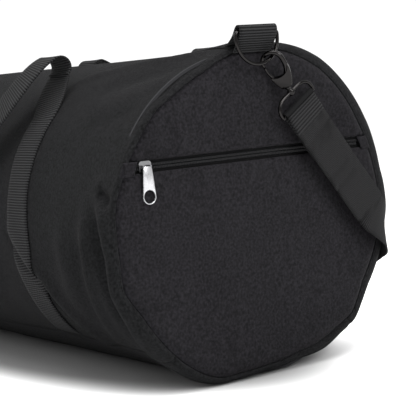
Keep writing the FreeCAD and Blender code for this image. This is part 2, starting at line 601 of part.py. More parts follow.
def strap_fold():
    """The strap's turn round the loop's bar."""
    inner = LOOP_WIRE / 2 + 0.15
    outer = inner + WEB
    half = STRAP_WIDTH / 2
    fold = Part.makeCylinder(outer, 2 * half, Vector(-half, 0, 0), X).cut(
        Part.makeCylinder(inner, 2 * half + 2, Vector(-half - 1, 0, 0), X))
    return fold.common(box(-half, half, -outer, outer, 0, outer))


def strap_return(stations, length):
    """Second layer behind the strap, from the loop's bar to a length along it."""
    done, layer = 0.0, []
    reach = LOOP_WIRE + 0.3 + WEB
    for i, (middle, across, normal) in enumerate(stations):
        if i:
            done += (middle - stations[i - 1][0]).Length
        step = WEB + WEB_GAP + (reach - WEB - WEB_GAP) * max(0.0, 1 - done / FOLD_EASE)
        layer.append((middle - normal * step, across, normal))
        if done > length:
            break
    return ribbon(layer, STRAP_WIDTH, WEB)


def strap_adjuster(station):
    """Adjuster: a frame whose end bars lie over the strap and whose middle bar lies under it."""
    middle, across, normal = station
    inside, bar, tall, plate = STRAP_WIDTH / 2 + 0.8, ADJUSTER_BAR, ADJUSTER_HALF, ADJUSTER_PLATE
    top, low = WEB / 2 + CLEAR, -WEB * 1.5 - WEB_GAP - CLEAR
    sides = []
    for s in (-1, 1):
        x0, x1 = sorted((s * inside, s * (inside + bar)))
        y0, y1 = sorted((s * (tall - bar), s * tall))
        sides.append(box(x0, x1, -tall, tall, low - plate, top + plate))
        sides.append(box(-inside, inside, y0, y1, top, top + plate))
    sides.append(box(-inside, inside, -bar / 2, bar / 2, low - plate, low))
    return placed(fused(sides), middle, across, normal.cross(across), normal)


def carry_gear():
    origin, x_axis, y_axis, z_axis, flat = hook_frame()
    frame = (origin, x_axis, y_axis, z_axis)
    # the loop, the stud and the strap's end keep the panel's plane: the hook turns on the stud
    level = (origin, flat, X * -1, z_axis)
    tab, ring = ring_tab(), d_ring()
    pieces = {"hook_body": placed(hook_body(), *frame), "hook_gate": placed(gate(), *frame),
              "gate_pin": placed(gate_pin(), *frame),
              "strap_loop": placed(strap_loop(), *level), "swivel_stud": placed(swivel_stud(), *level),
              "ring_tab": tab, "d_ring": ring}
    for name, shape in pieces.items():
        keep(name + "_pocket_end", shape)
        keep(name + "_plain_end", mirrored(shape))
    bar = origin - z_axis * LOOP_DROP
    fold = placed(strap_fold(), bar, flat, X * -1, z_axis)
    half = along(*strap_path())
    half[0] = (half[0][0], flat * -1, X)
    other = [(Vector(-p.x, p.y, p.z), Vector(-w.x, w.y, w.z), Vector(-n.x, n.y, n.z))
             for p, w, n in reversed(half[:-1])]
    keep("shoulder_strap", ribbon(half + other, STRAP_WIDTH, WEB))
    keep("strap_fold_pocket_end", fold)
    keep("strap_fold_plain_end", mirrored(fold))
    keep("strap_sewn_end", strap_return(half, FOLD_SEWN))
    steps = [(half[i + 1][0] - half[i][0]).Length for i in range(STRAP_STEPS)]
    adjuster_at = sum(steps) - ADJUSTER_BACK
    keep("strap_return", mirrored(strap_return(half, adjuster_at + ADJUSTER_TAIL)))
    i = 0
    while sum(steps[:i]) < adjuster_at:
        i += 1
    keep("strap_adjuster", mirrored(strap_adjuster(half[i])))


barrel()
mouth_zip()
ends()
handles()
carry_gear()

os.makedirs("parts", exist_ok=True)
for node, shape in NODES.items():
    shape.exportStep("parts/" + node + ".step")
    print(node, len(shape.Solids), round(shape.Volume))
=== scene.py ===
import json
import math

import bmesh
import bpy
import numpy as np
from mathutils import Matrix, Vector, noise


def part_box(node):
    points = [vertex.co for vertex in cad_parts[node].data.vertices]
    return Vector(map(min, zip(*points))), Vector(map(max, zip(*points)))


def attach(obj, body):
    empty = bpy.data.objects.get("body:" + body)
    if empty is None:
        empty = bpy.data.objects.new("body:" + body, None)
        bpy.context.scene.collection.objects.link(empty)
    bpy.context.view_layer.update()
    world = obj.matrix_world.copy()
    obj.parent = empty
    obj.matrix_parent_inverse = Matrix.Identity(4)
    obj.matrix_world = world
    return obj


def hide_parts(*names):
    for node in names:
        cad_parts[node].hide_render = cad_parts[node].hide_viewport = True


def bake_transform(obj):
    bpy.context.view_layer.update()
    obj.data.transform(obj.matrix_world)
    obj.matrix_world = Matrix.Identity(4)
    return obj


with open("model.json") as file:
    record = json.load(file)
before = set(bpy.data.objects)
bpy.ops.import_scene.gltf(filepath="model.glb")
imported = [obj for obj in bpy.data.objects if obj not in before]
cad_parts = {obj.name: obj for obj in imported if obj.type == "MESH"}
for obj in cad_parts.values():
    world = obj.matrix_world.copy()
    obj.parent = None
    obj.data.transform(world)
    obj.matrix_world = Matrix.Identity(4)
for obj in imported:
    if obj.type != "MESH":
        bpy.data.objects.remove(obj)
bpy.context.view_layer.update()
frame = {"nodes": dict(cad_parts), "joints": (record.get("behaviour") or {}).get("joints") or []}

nodes = frame["nodes"]
jointPlace = {joint["name"]: Vector(joint.get("pos_m", (0, 0, 0))) for joint in frame["joints"]}

# the barrel, as the frame has it
panelLow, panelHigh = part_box("side_panel_front")
barrel = {
    "half": panelHigh.x,                     # end of the barrel from the middle
    "radius": -panelLow.y,
    "axis": panelHigh.z + panelLow.y,        # height of the barrel's middle line
    "baseTurn": math.radians(138.0),         # seam between side panel and base, from the top
    "thick": 0.0014,
}
zipLevel = (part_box("pocket_zip_coil_lower")[0].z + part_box("pocket_zip_coil_upper")[1].z) / 2
print("frame: half", round(barrel["half"], 4), "radius", round(barrel["radius"], 4),
      "axis", round(barrel["axis"], 4))


# shape of the filled barrel
sag = {
    "columns": 241, "rows": 361,             # table that the whole cloth follows
    "roll": 0.0022, "rollSize": 0.13,        # slow waves in the cloth
    "crumple": 0.0007, "crumpleSize": 0.034,
    "rimReach": 0.013,                       # where the puffed rim is highest, from the end seam
    "seamReach": 0.045,
    "zipFlat": 0.017,                        # the cloth stays true this near the mouth's zip
    "floorSoft": 0.0015,
}

mouth = {
    "edge": 0.0085,          # folded edge of the cloth, from the middle of the zip
    "split": 0.115,          # the lips bend in three lengths, parted under the handle strips
    "fade": 0.240,           # where the lips stop moving, along the bag
    "reach": 0.060, "still": 0.075,
    "window": 0.248,
}

# end seam at the pocket end: degrees from the top (+ to the front), millimetres off the true round
pocketSeam = [(-180, -8), (-164, -9), (-154, -5), (-143, -2.5), (-135, 3), (-122, -2.4), (-94, 2),
              (-77, 1), (-61, 1), (-34, 6), (-14, 5), (0, 5), (10, -1), (20, -6), (36, -6), (44, -3),
              (56, -3), (68, 0), (80, 4.5), (90, 0.5), (98, -0.6), (108, 4), (119, 0.3), (130, 1),
              (153, 4), (160, 3), (168, -3), (180, -8)]
pocketRim = [(-180, 3), (-163, 6), (-150, 11), (-134, 10), (-118, 10), (-100, 9), (-92, 11), (-64, 14),
             (-40, 12), (-27, 9), (-14, 5), (0, 2), (30, 0), (60, 0), (78, 0), (88, 2), (110, 3),
             (130, 5), (150, 5), (166, 3), (180, 1)]
plainSeam = [(-180, -8), (-150, 2), (-120, -2), (-95, 3), (-60, -1), (-30, 2), (0, 4), (25, -3), (60, 0),
             (92, 3), (120, -1), (150, 3), (168, -4), (180, -8)]
plainRim = [(-180, 3), (-150, 9), (-110, 8), (-70, 6), (-30, 8), (0, 4), (40, 7), (80, 3), (110, 8),
            (150, 9), (180, 3)]

# folds: points (metres along, degrees round), width and height in metres
folds = [
    ([(0.261, 75.5), (0.282, 80)], 0.0042, -0.0085),
    ([(0.256, 72), (0.277, 76)], 0.0055, 0.0022),
    ([(0.264, 79), (0.277, 85), (0.2815, 96), (0.2815, 108), (0.278, 122), (0.268, 140)], 0.0080, 0.0056),
    ([(0.257, 82), (0.261, 96), (0.259, 110), (0.251, 130)], 0.0080, -0.0080),
    ([(0.240, 84), (0.236, 100), (0.229, 114), (0.214, 134)], 0.0075, 0.0042),
    ([(0.222, 90), (0.215, 106), (0.202, 128)], 0.0085, -0.0036),
    ([(0.198, 88), (0.193, 104), (0.184, 122)], 0.0100, 0.0024),
    ([(0.098, 92), (0.120, 104), (0.139, 110), (0.152, 120), (0.161, 127), (0.171, 138), (0.200, 152)],
     0.0042, -0.0060),
    ([(0.110, 92), (0.152, 111), (0.165, 120), (0.178, 130), (0.195, 144)], 0.0100, 0.0052),
    ([(0.268, 6), (0.222, 14), (0.160, 22), (0.120, 26)], 0.0080, 0.0030),
    ([(0.262, 20), (0.215, 30), (0.180, 34)], 0.0140, -0.0036),
    ([(0.268, 44), (0.235, 50), (0.205, 52)], 0.0120, -0.0024),
    ([(0.070, 96), (0.040, 112), (0.010, 122)], 0.0140, 0.0030),
    ([(0.060, 60), (0.020, 72), (-0.030, 80)], 0.0180, -0.0030),
]
# the same kinds of fold at the other three corners: side of X, side of Y, share, shift along
corners = [(1, -1, 0.8, -0.004), (-1, 1, 0.9, 0.003), (-1, -1, 0.75, -0.008)]


def foldField(x, arc, path, wide, high):
    field = np.zeros_like(x)
    pieces = len(path) - 1
    nearest = np.full_like(x, 1e9)
    for i in range(pieces):
        (x0, a0), (x1, a1) = path[i], path[i + 1]
        s0, s1 = a0 * barrel["radius"], a1 * barrel["radius"]
        dx, ds = x1 - x0, s1 - s0
        t = np.clip(((x - x0) * dx + (arc - s0) * ds) / (dx * dx + ds * ds), 0, 1)
        away = np.hypot(x - x0 - t * dx, arc - s0 - t * ds)
        along = (i + t) / pieces
        taper = np.clip(np.minimum(along, 1 - along) * 4 + 0.25, 0, 1)
        value = high * taper * np.exp(-(away / wide) ** 2)
        field = np.where(away < nearest, value, field)
        nearest = np.minimum(away, nearest)
    return field


def noiseField(x, turn, size, seed):
    flat = [noise.noise(Vector((a / size, b * barrel["radius"] / size * 0.8, seed)))
            for a, b in zip(x.ravel(), np.abs(turn.ravel()))]
    return np.array(flat).reshape(x.shape)


def buildTable():
    xs = np.linspace(-barrel["half"], barrel["half"], sag["columns"])
    turns = np.linspace(-math.pi, math.pi, sag["rows"])
    x, turn = np.meshgrid(xs, turns, indexing="ij")
    degrees = np.degrees(turn)
    arc = turn * barrel["radius"]
    out = sag["roll"] * noiseField(x, turn, sag["rollSize"], 3.7)
    out += sag["crumple"] * noiseField(x, turn, sag["crumpleSize"], 9.1)
    for side, seam, rim in ((1, pocketSeam, pocketRim), (-1, plainSeam, plainRim)):
        fromEnd = barrel["half"] - side * x
        seamOut = np.interp(degrees, [p[0] for p in seam], [p[1] for p in seam]) / 1000
        rimOut = np.interp(degrees, [p[0] for p in rim], [p[1] for p in rim]) / 1000
        step = fromEnd / sag["rimReach"]
        out += seamOut * np.exp(-(fromEnd / sag["seamReach"]) ** 2)
        rise = rimOut * np.clip(step, 0, None) ** 1.2
        out += rise * np.exp(1.2 - 1.2 * np.clip(step, 0, 40)) * (fromEnd < 0.25)
    for path, wide, high in folds:
        points = [(px, math.radians(pa)) for px, pa in path]
        out += foldField(x, arc, points, wide, high)
        for sideX, sideY, share, shift in corners:
            twin = [(sideX * (px + shift), sideY * pa) for px, pa in points]
            out += share * foldField(x, arc, twin, wide * 1.1, high)
    overZip = np.clip((mouth["window"] + 0.012 - np.abs(x)) / 0.020, 0, 1)
    out *= 1 - 0.9 * np.exp(-(arc / sag["zipFlat"]) ** 4) * overZip
    radius = barrel["radius"] + out
    y = -radius * np.sin(turn)
    z = barrel["axis"] + radius * np.cos(turn)
    return np.stack([x, y, z], -1)


def floorRest(table):
    # the weight presses the base onto the floor, with a soft round where it lifts off
    table[..., 2] = sag["floorSoft"] * np.logaddexp(0, table[..., 2] / sag["floorSoft"]) + 0.0002
    return table


def smoothTable(table):
    # rounds corners of the polygon that the seam's few points make
    for _ in range(2):
        padded = np.concatenate([table[:, -2:-1], table, table[:, 1:2]], axis=1)
        table = (padded[:, :-2] + 2 * padded[:, 1:-1] + padded[:, 2:]) / 4
    return table


table = floorRest(smoothTable(buildTable()))


def sample(x, turn):
    # smooth point on the table at any place along and round the barrel
    fx = np.clip((x + barrel["half"]) / (2 * barrel["half"]) * (sag["columns"] - 1), 0, sag["columns"] - 1)
    ft = (turn + math.pi) / (2 * math.pi) * (sag["rows"] - 1)
    ix, it = np.floor(fx).astype(int), np.floor(ft).astype(int)
    ux, ut = fx - ix, ft - it

    def weights(u):
        return [(-u + 2 * u ** 2 - u ** 3) / 2, (2 - 5 * u ** 2 + 3 * u ** 3) / 2,
                (u + 4 * u ** 2 - 3 * u ** 3) / 2, (-u ** 2 + u ** 3) / 2]

    total = 0
    for i, wx in enumerate(weights(ux)):
        rows = np.clip(ix + i - 1, 0, sag["columns"] - 1)
        for j, wt in enumerate(weights(ut)):
            cells = (it + j - 1) % (sag["rows"] - 1)
            total = total + table[rows, cells] * (wx * wt)[..., None]
    return total


def sampleNormal(x, turn):
    step = 0.0015
    along = sample(x + step, turn) - sample(x - step, turn)
    around = sample(x, turn + step * 7) - sample(x, turn - step * 7)
    normal = np.cross(around, along)
    flip = np.where((normal[..., 1] * -np.sin(turn) + normal[..., 2] * np.cos(turn)) < 0, -1.0, 1.0)
    normal = normal * flip[..., None]
    return normal / np.maximum(np.linalg.norm(normal, axis=-1, keepdims=True), 1e-9)


def onBarrel(x, turn, lift=0.0):
    # cloth surface with its sewn edges drawn in, and a lift off it
    point = sample(x, turn)
    normal = sampleNormal(x, turn)
    fromEnd = barrel["half"] - np.abs(x)
    drawn = -0.0034 * np.clip(1 - fromEnd / 0.0040, 0, 1) ** 2
    off = np.abs(np.abs(turn) - barrel["baseTurn"]) * barrel["radius"]
    drawn = drawn - 0.0006 * np.exp(-(off / 0.0022) ** 2)
    moved = point + normal * (drawn + lift)[..., None]
    moved[..., 2] = np.maximum(moved[..., 2], 0.0004)
    return moved


# mesh helpers
def gridPiece(name, across, along, place, closed=False):
    # place(u, v) gives the points and the cloth's own flat coordinates, in metres
    mesh = bmesh.new()
    bmesh.ops.create_grid(mesh, x_segments=across, y_segments=along, size=1.0)
    data = bpy.data.meshes.new(name)
    mesh.to_mesh(data)
    mesh.free()
    flat = np.zeros(len(data.vertices) * 3)
    data.vertices.foreach_get("co", flat)
    flat = flat.reshape(-1, 3)
    points, cloth = place((flat[:, 0] + 1) / 2, (flat[:, 1] + 1) / 2)
    data.vertices.foreach_set("co", np.ascontiguousarray(points, dtype=np.float32).ravel())
    layer = data.uv_layers.new(name="cloth")
    loops = np.zeros(len(data.loops), dtype=np.int32)
    data.loops.foreach_get("vertex_index", loops)
    layer.data.foreach_set("uv", np.ascontiguousarray(cloth[loops], dtype=np.float32).ravel())
    if closed:
        work = bmesh.new()
        work.from_mesh(data)
        bmesh.ops.remove_doubles(work, verts=work.verts, dist=0.00002)
        work.to_mesh(data)
        work.free()
    data.update()
    return finishMesh(name, data)


def finishMesh(name, data):
    piece = bpy.data.objects.new(name, data)
    bpy.context.scene.collection.objects.link(piece)
    data.shade_smooth()
    return piece


def faceOut(piece, away):
    # turns the faces so that they look along away(middle of a face)
    mesh = piece.data
    votes = sum(1 if face.normal.dot(away(face.center)) > 0 else -1 for face in list(mesh.polygons)[::7])
    if votes < 0:
        mesh.flip_normals()


def fromBarrel(middle):
    return Vector((0, middle.y, middle.z - barrel["axis"]))


def solidify(piece, thick, offset=-1.0):
    modifier = piece.modifiers.new("cloth", "SOLIDIFY")
    modifier.thickness = thick
    modifier.offset = offset
    modifier.use_even_offset = False
    return piece


def dress(piece, material):
    piece.data.materials.clear()
    piece.data.materials.append(material)


# materials
def newMaterial(name, color, roughness, metallic=0.0):
    material = bpy.data.materials.new(name)
    material.use_nodes = True
    tree = material.node_tree
    shader = tree.nodes["Principled BSDF"]
    shader.inputs["Base Color"].default_value = (*color, 1)
    shader.inputs["Roughness"].default_value = roughness
    shader.inputs["Metallic"].default_value = metallic
    return material, tree, shader


def addNode(tree, kind, **values):
    node = tree.nodes.new(kind)
    for key, value in values.items():
        if hasattr(node, key):
            setattr(node, key, value)
        else:
            node.inputs[key].default_value = value
    return node


def mixColor(tree, factor, dark, light):
    mix = addNode(tree, "ShaderNodeMix", data_type="RGBA")
    mix.inputs["A"].default_value = (*dark, 1)
    mix.inputs["B"].default_value = (*light, 1)
    tree.links.new(factor, mix.inputs["Factor"])
    return mix.outputs["Result"]


canvasLook = {"thread": 0.00085, "roughness": 0.9, "sheen": 0.012, "specular": 0.055, "bump": 0.9,
              "fleck": 460.0, "patch": 0.3, "patchSize": 14.0}


def canvas(name, dark, light):
    # plain weave: threads along and across the cloth's own coordinates, with slubs and pale flecks
    material, tree, shader = newMaterial(name, dark, canvasLook["roughness"])
    shader.inputs["Sheen Weight"].default_value = canvasLook["sheen"]
    shader.inputs["Sheen Roughness"].default_value = 0.45
    shader.inputs["Specular IOR Level"].default_value = canvasLook["specular"]
    place = addNode(tree, "ShaderNodeUVMap", uv_map="cloth")
    body = addNode(tree, "ShaderNodeTexCoord")
    waves = []
    for direction in ("X", "Y"):
        wave = addNode(tree, "ShaderNodeTexWave", bands_direction=direction)
        wave.inputs["Scale"].default_value = math.pi / (10 * canvasLook["thread"])
        wave.inputs["Distortion"].default_value = 0.6
        wave.inputs["Detail Scale"].default_value = 0.3
        tree.links.new(place.outputs["UV"], wave.inputs["Vector"])
        waves.append(wave.outputs["Fac"])
    weave = addNode(tree, "ShaderNodeMath", operation="MAXIMUM")
    tree.links.new(waves[0], weave.inputs[0])
    tree.links.new(waves[1], weave.inputs[1])
    fleck = addNode(tree, "ShaderNodeTexNoise")
    fleck.inputs["Scale"].default_value = canvasLook["fleck"]
    fleck.inputs["Detail"].default_value = 2.0
    tree.links.new(body.outputs["Object"], fleck.inputs["Vector"])
    patch = addNode(tree, "ShaderNodeTexNoise")
    patch.inputs["Scale"].default_value = canvasLook["patchSize"]
    patch.inputs["Detail"].default_value = 3.0
    tree.links.new(body.outputs["Object"], patch.inputs["Vector"])
    blendAmount = addNode(tree, "ShaderNodeMath", operation="MULTIPLY_ADD")
    tree.links.new(fleck.outputs["Fac"], blendAmount.inputs[0])
    blendAmount.inputs[1].default_value = 1.5
    soften = addNode(tree, "ShaderNodeMath", operation="MULTIPLY_ADD")
    tree.links.new(patch.outputs["Fac"], soften.inputs[0])
    soften.inputs[1].default_value = canvasLook["patch"]
    soften.inputs[2].default_value = 0.5 - canvasLook["patch"] / 2
    tree.links.new(soften.outputs[0], blendAmount.inputs[2])
    narrow = addNode(tree, "ShaderNodeMapRange")
    narrow.inputs["From Min"].default_value = 0.95
    narrow.inputs["From Max"].default_value = 1.55
    tree.links.new(blendAmount.outputs[0], narrow.inputs["Value"])
    tree.links.new(mixColor(tree, narrow.outputs["Result"], dark, light), shader.inputs["Base Color"])
    height = addNode(tree, "ShaderNodeMath", operation="MULTIPLY_ADD")
    tree.links.new(fleck.outputs["Fac"], height.inputs[0])
    height.inputs[1].default_value = 0.8
    tree.links.new(weave.outputs[0], height.inputs[2])
    bump = addNode(tree, "ShaderNodeBump")
    bump.inputs["Strength"].default_value = canvasLook["bump"]
    bump.inputs["Distance"].default_value = 0.0004
    tree.links.new(height.outputs[0], bump.inputs["Height"])
    tree.links.new(bump.outputs["Normal"], shader.inputs["Normal"])
    return material


webbingLook = {"rib": 0.0024, "twill": 0.0016, "fold": 0.0029, "foldReach": 0.024, "roughness": 0.75,
               "sheen": 0.008, "specular": 0.05, "bump": 1.0}


def webbing(name, dark, light, rib=None, folded=False):
    # ribs across the tape with a fine twill between them; a folded end has coarser rows near its fold
    material, tree, shader = newMaterial(name, dark, webbingLook["roughness"])
    shader.inputs["Sheen Weight"].default_value = webbingLook["sheen"]
    shader.inputs["Specular IOR Level"].default_value = webbingLook["specular"]
    place = addNode(tree, "ShaderNodeUVMap", uv_map="cloth")
    ribs = addNode(tree, "ShaderNodeTexWave", bands_direction="X")
    ribs.inputs["Scale"].default_value = math.pi / (10 * (rib or webbingLook["rib"]))
    ribs.inputs["Distortion"].default_value = 0.5
    ribs.inputs["Detail Scale"].default_value = 0.5
    twill = addNode(tree, "ShaderNodeTexWave", bands_direction="DIAGONAL")
    twill.inputs["Scale"].default_value = math.pi / (10 * webbingLook["twill"])
    for wave in (ribs, twill):
        tree.links.new(place.outputs["UV"], wave.inputs["Vector"])
    height = addNode(tree, "ShaderNodeMath", operation="MULTIPLY_ADD")
    tree.links.new(twill.outputs["Fac"], height.inputs[0])
    height.inputs[1].default_value = 0.3
    tree.links.new(ribs.outputs["Fac"], height.inputs[2])
    shade = ribs.outputs["Fac"]
    if folded:
        coarse = addNode(tree, "ShaderNodeTexWave", bands_direction="X")
        coarse.inputs["Scale"].default_value = math.pi / (10 * webbingLook["fold"])
        tree.links.new(place.outputs["UV"], coarse.inputs["Vector"])
        apart = addNode(tree, "ShaderNodeSeparateXYZ")
        tree.links.new(place.outputs["UV"], apart.inputs[0])
        near = addNode(tree, "ShaderNodeMapRange", interpolation_type="SMOOTHSTEP")
        near.inputs["From Min"].default_value = webbingLook["foldReach"]
        near.inputs["From Max"].default_value = webbingLook["foldReach"] * 0.7
        tree.links.new(apart.outputs["X"], near.inputs["Value"])
        both = addNode(tree, "ShaderNodeMix", data_type="FLOAT")
        tree.links.new(near.outputs["Result"], both.inputs["Factor"])
        tree.links.new(ribs.outputs["Fac"], both.inputs["A"])
        tree.links.new(coarse.outputs["Fac"], both.inputs["B"])
        shade = both.outputs["Result"]
        tree.links.new(shade, height.inputs[2])
    tree.links.new(mixColor(tree, shade, dark, light), shader.inputs["Base Color"])
    bump = addNode(tree, "ShaderNodeBump")
    bump.inputs["Strength"].default_value = webbingLook["bump"]
    bump.inputs["Distance"].default_value = 0.0007
    tree.links.new(height.outputs[0], bump.inputs["Height"])
    tree.links.new(bump.outputs["Normal"], shader.inputs["Normal"])
    return material


def polished(name, color, roughness, scratch):
    # plated metal: a faint brushed wander in the gloss and fine scratches
    material, tree, shader = newMaterial(name, color, roughness, 1.0)
    body = addNode(tree, "ShaderNodeTexCoord")
    grain = addNode(tree, "ShaderNodeTexNoise")
    grain.inputs["Scale"].default_value = 420.0
    grain.inputs["Detail"].default_value = 4.0
    tree.links.new(body.outputs["Object"], grain.inputs["Vector"])
    gloss = addNode(tree, "ShaderNodeMapRange")
    gloss.inputs["To Min"].default_value = roughness * 0.7
    gloss.inputs["To Max"].default_value = roughness * 1.5
    tree.links.new(grain.outputs["Fac"], gloss.inputs["Value"])
    tree.links.new(gloss.outputs["Result"], shader.inputs["Roughness"])
    bump = addNode(tree, "ShaderNodeBump")
    bump.inputs["Strength"].default_value = scratch
    bump.inputs["Distance"].default_value = 0.0001
    tree.links.new(grain.outputs["Fac"], bump.inputs["Height"])
    tree.links.new(bump.outputs["Normal"], shader.inputs["Normal"])
    return material


def moulded(name, color, roughness, specular=0.5):
    material, tree, shader = newMaterial(name, color, roughness)
    shader.inputs["Specular IOR Level"].default_value = specular
    body = addNode(tree, "ShaderNodeTexCoord")
    grain = addNode(tree, "ShaderNodeTexNoise")
    grain.inputs["Scale"].default_value = 1600.0
    tree.links.new(body.outputs["Object"], grain.inputs["Vector"])
    speckled = mixColor(tree, grain.outputs["Fac"], color, [c * 1.6 for c in color])
    tree.links.new(speckled, shader.inputs["Base Color"])
    bump = addNode(tree, "ShaderNodeBump")
    bump.inputs["Strength"].default_value = 0.2
    bump.inputs["Distance"].default_value = 0.0001
    tree.links.new(grain.outputs["Fac"], bump.inputs["Height"])
    tree.links.new(bump.outputs["Normal"], shader.inputs["Normal"])
    return material


bodyCanvas = canvas("bodyCanvas", (0.0016, 0.0016, 0.0018), (0.0088, 0.0089, 0.0095))
endCanvas = canvas("endCanvas", (0.0030, 0.0028, 0.0034), (0.0118, 0.0110, 0.0128))
blackWebbing = webbing("blackWebbing", (0.0015, 0.0015, 0.0016), (0.0221, 0.0223, 0.0230))
strapWebbing = webbing("strapWebbing", (0.0034, 0.0034, 0.0036), (0.0147, 0.0146, 0.0152), 0.0013, True)
tabWebbing = webbing("tabWebbing", (0.0019, 0.0019, 0.0020), (0.0176, 0.0177, 0.0183))
zipTape = webbing("zipTape", (0.0015, 0.0015, 0.0016), (0.0045, 0.0045, 0.0048), 0.0009)
zipCoil = moulded("zipCoil", (0.0042, 0.0042, 0.0046), 0.4, 0.16)
blackNickel = polished("blackNickel", (0.0150, 0.0143, 0.0142), 0.11, 0.03)
brightNickel = polished("brightNickel", (0.34, 0.34, 0.35), 0.26, 0.10)
sliderNickel = polished("sliderNickel", (0.17, 0.17, 0.175), 0.22, 0.08)
bindingCloth = moulded("bindingCloth", (0.012, 0.012, 0.013), 0.85, 0.1)
mouldedBlack = moulded("mouldedBlack", (0.012, 0.012, 0.013), 0.4)
print("materials done")


def blendLip(piece, end):
    # a lip opens most in the middle and not at all at the mouth's ends; here the lip piece's placing is only
    # baked into its mesh
    if end == 0:
        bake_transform(piece)
        return
    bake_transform(piece)


def lipRange(end):
    if end == 0:
        return -mouth["split"], mouth["split"]
    return tuple(sorted((end * mouth["split"], end * barrel["half"])))


def spread(u, end):
    # closer rows of faces towards the bag's ends, where the folds are small
    return u if end == 0 else (1 - (1 - u) ** 1.5 if end > 0 else u ** 1.5)


sideNames = {-1: "front", 1: "back"}
endNames = {0: "Middle", 1: "PocketEnd", -1: "PlainEnd"}
for side in (-1, 1):
    for end in (0, 1, -1):
        x0, x1 = lipRange(end)

        def place(u, v):
            x = x0 + (x1 - x0) * spread(u, end)
            top = math.asin(mouth["edge"] / barrel["radius"])
            closing = np.clip((np.abs(x) - mouth["window"]) / 0.004, 0, 1)
            first = top * (1 - closing)
            turn = first + (barrel["baseTurn"] - first) * v
            flat = np.stack([x, turn * barrel["radius"]], -1)
            return onBarrel(x, -side * turn), flat

        columns = 66 if end == 0 else 60
        panel = gridPiece("sidePanel" + sideNames[side].title() + endNames[end], columns, 96, place)
        faceOut(panel, fromBarrel)
        solidify(panel, barrel["thick"])
        dress(panel, bodyCanvas)
        blendLip(panel, end)
        covered = ["side_panel_" + sideNames[side]] + (["mouth_flap_" + sideNames[side]] if end == 0 else [])
        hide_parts(*covered)


def basePlace(u, v):
    eased = 0.5 - 0.5 * np.cos(math.pi * u)      # closer rows of faces at both ends
    x = -barrel["half"] + 2 * barrel["half"] * eased * 0.35 + 2 * barrel["half"] * u * 0.65
    x = np.clip(x, -barrel["half"], barrel["half"])
    turn = barrel["baseTurn"] + (2 * math.pi - 2 * barrel["baseTurn"]) * v
    turn = np.where(turn > math.pi, turn - 2 * math.pi, turn)
    return onBarrel(x, turn), np.stack([x, turn * barrel["radius"]], -1)


basePanel = gridPiece("basePanel", 170, 80, basePlace)
faceOut(basePanel, fromBarrel)
solidify(basePanel, barrel["thick"])
dress(basePanel, bodyCanvas)
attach(basePanel, "bag")
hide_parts("base_panel")
print("barrel done")


# round ends
endLook = {"rings": 44, "steps": 200, "lip": 0.0050, "wave": 0.0016, "drawn": 0.0035, "thick": 0.0010,
           "pocketDeep": 0.0062, "pocketScale": 0.985}


def endOut(y, z, seed):
    # how far the end's cloth stands out from its plane
    value = np.array([noise.noise(Vector((a / 0.085, b / 0.085, seed))) for a, b in zip(y, z)])
    small = np.array([noise.noise(Vector((a / 0.022, b / 0.030, seed + 5))) for a, b in zip(y, z)])
    above = z - zipLevel
    pucker = np.exp(-((above - 0.016) / 0.016) ** 2) * small * 0.0024 if seed < 3 else 0
    calm = 1 - np.exp(-(above / 0.011) ** 4) if seed < 3 else 1
    return (endLook["wave"] * value + pucker + 0.0004 * small) * calm


def endDisc(name, side, seed, depth=0.0, scale=1.0):
    def place(u, v):
        turn = -math.pi + 2 * math.pi * v
        share = 1 - u ** 1.25
        edge = onBarrel(np.full_like(turn, side * barrel["half"]), turn)
        y = edge[:, 1] * share * scale
        z = barrel["axis"] + (edge[:, 2] - barrel["axis"]) * share * scale
        rim = np.clip(1 - (1 - share) * barrel["radius"] / 0.007, 0, 1)
        out = endOut(y, z, seed) * np.clip((1 - share) * 9, 0, 1) - endLook["drawn"] * rim ** 2
        x = side * (barrel["half"] - depth + 0.0003 + out)
        return np.stack([x, y, z], -1), np.stack([y, z], -1)

    piece = gridPiece(name, endLook["rings"], endLook["steps"], place, closed=True)
    faceOut(piece, lambda middle: Vector((side, 0, 0)))
    return piece


def cutLevel(piece, level, keepAbove):
    work = bmesh.new()
    work.from_mesh(piece.data)
    bmesh.ops.bisect_plane(work, geom=work.verts[:] + work.edges[:] + work.faces[:], dist=0.00001,
                           plane_co=(0, 0, level), plane_no=(0, 0, 1),
                           clear_inner=keepAbove, clear_outer=not keepAbove)
    work.to_mesh(piece.data)
    work.free()
    piece.data.update()


def curlEdge(piece, level, keepAbove):
    # the folded edge beside the zip rolls in over a couple of millimetres
    sign = 1 if keepAbove else -1
    for vertex in piece.data.vertices:
        away = sign * (vertex.co.z - level)
        crest = 0.0007 * math.exp(-((away - 0.0016) / 0.0011) ** 2)
        vertex.co.x += crest - 0.0014 * max(0.0, 1 - away / 0.0014)
        vertex.co.x -= 0.0004 * math.exp(-((away - 0.0042) / 0.0007) ** 2)


upperEnd = endDisc("endUpperPanel", 1, 1.0)
cutLevel(upperEnd, zipLevel + endLook["lip"], True)
curlEdge(upperEnd, zipLevel + endLook["lip"], True)
pocketFront = endDisc("pocketFrontPanel", 1, 2.0)
cutLevel(pocketFront, zipLevel - endLook["lip"], False)
curlEdge(pocketFront, zipLevel - endLook["lip"], False)
pocketBack = endDisc("pocketBackPanel", 1, 7.0, depth=endLook["pocketDeep"], scale=endLook["pocketScale"])
plainEnd = endDisc("plainEndPanel", -1, 6.0)
for piece, node in ((upperEnd, "end_upper_panel"), (pocketFront, "pocket_front_panel"),
                    (pocketBack, "pocket_back_panel"), (plainEnd, "end_panel_plain")):
    solidify(piece, endLook["thick"])
    dress(piece, endCanvas)
    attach(piece, "bag")
    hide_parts(node)
print("ends done")


# zips
def toothMesh(width, high, long):
    # one turn of the coil: a rounded bead
    work = bmesh.new()
    bmesh.ops.create_uvsphere(work, u_segments=8, v_segments=5, radius=0.5)
    bmesh.ops.scale(work, verts=work.verts, vec=(long, width, high))
    return work


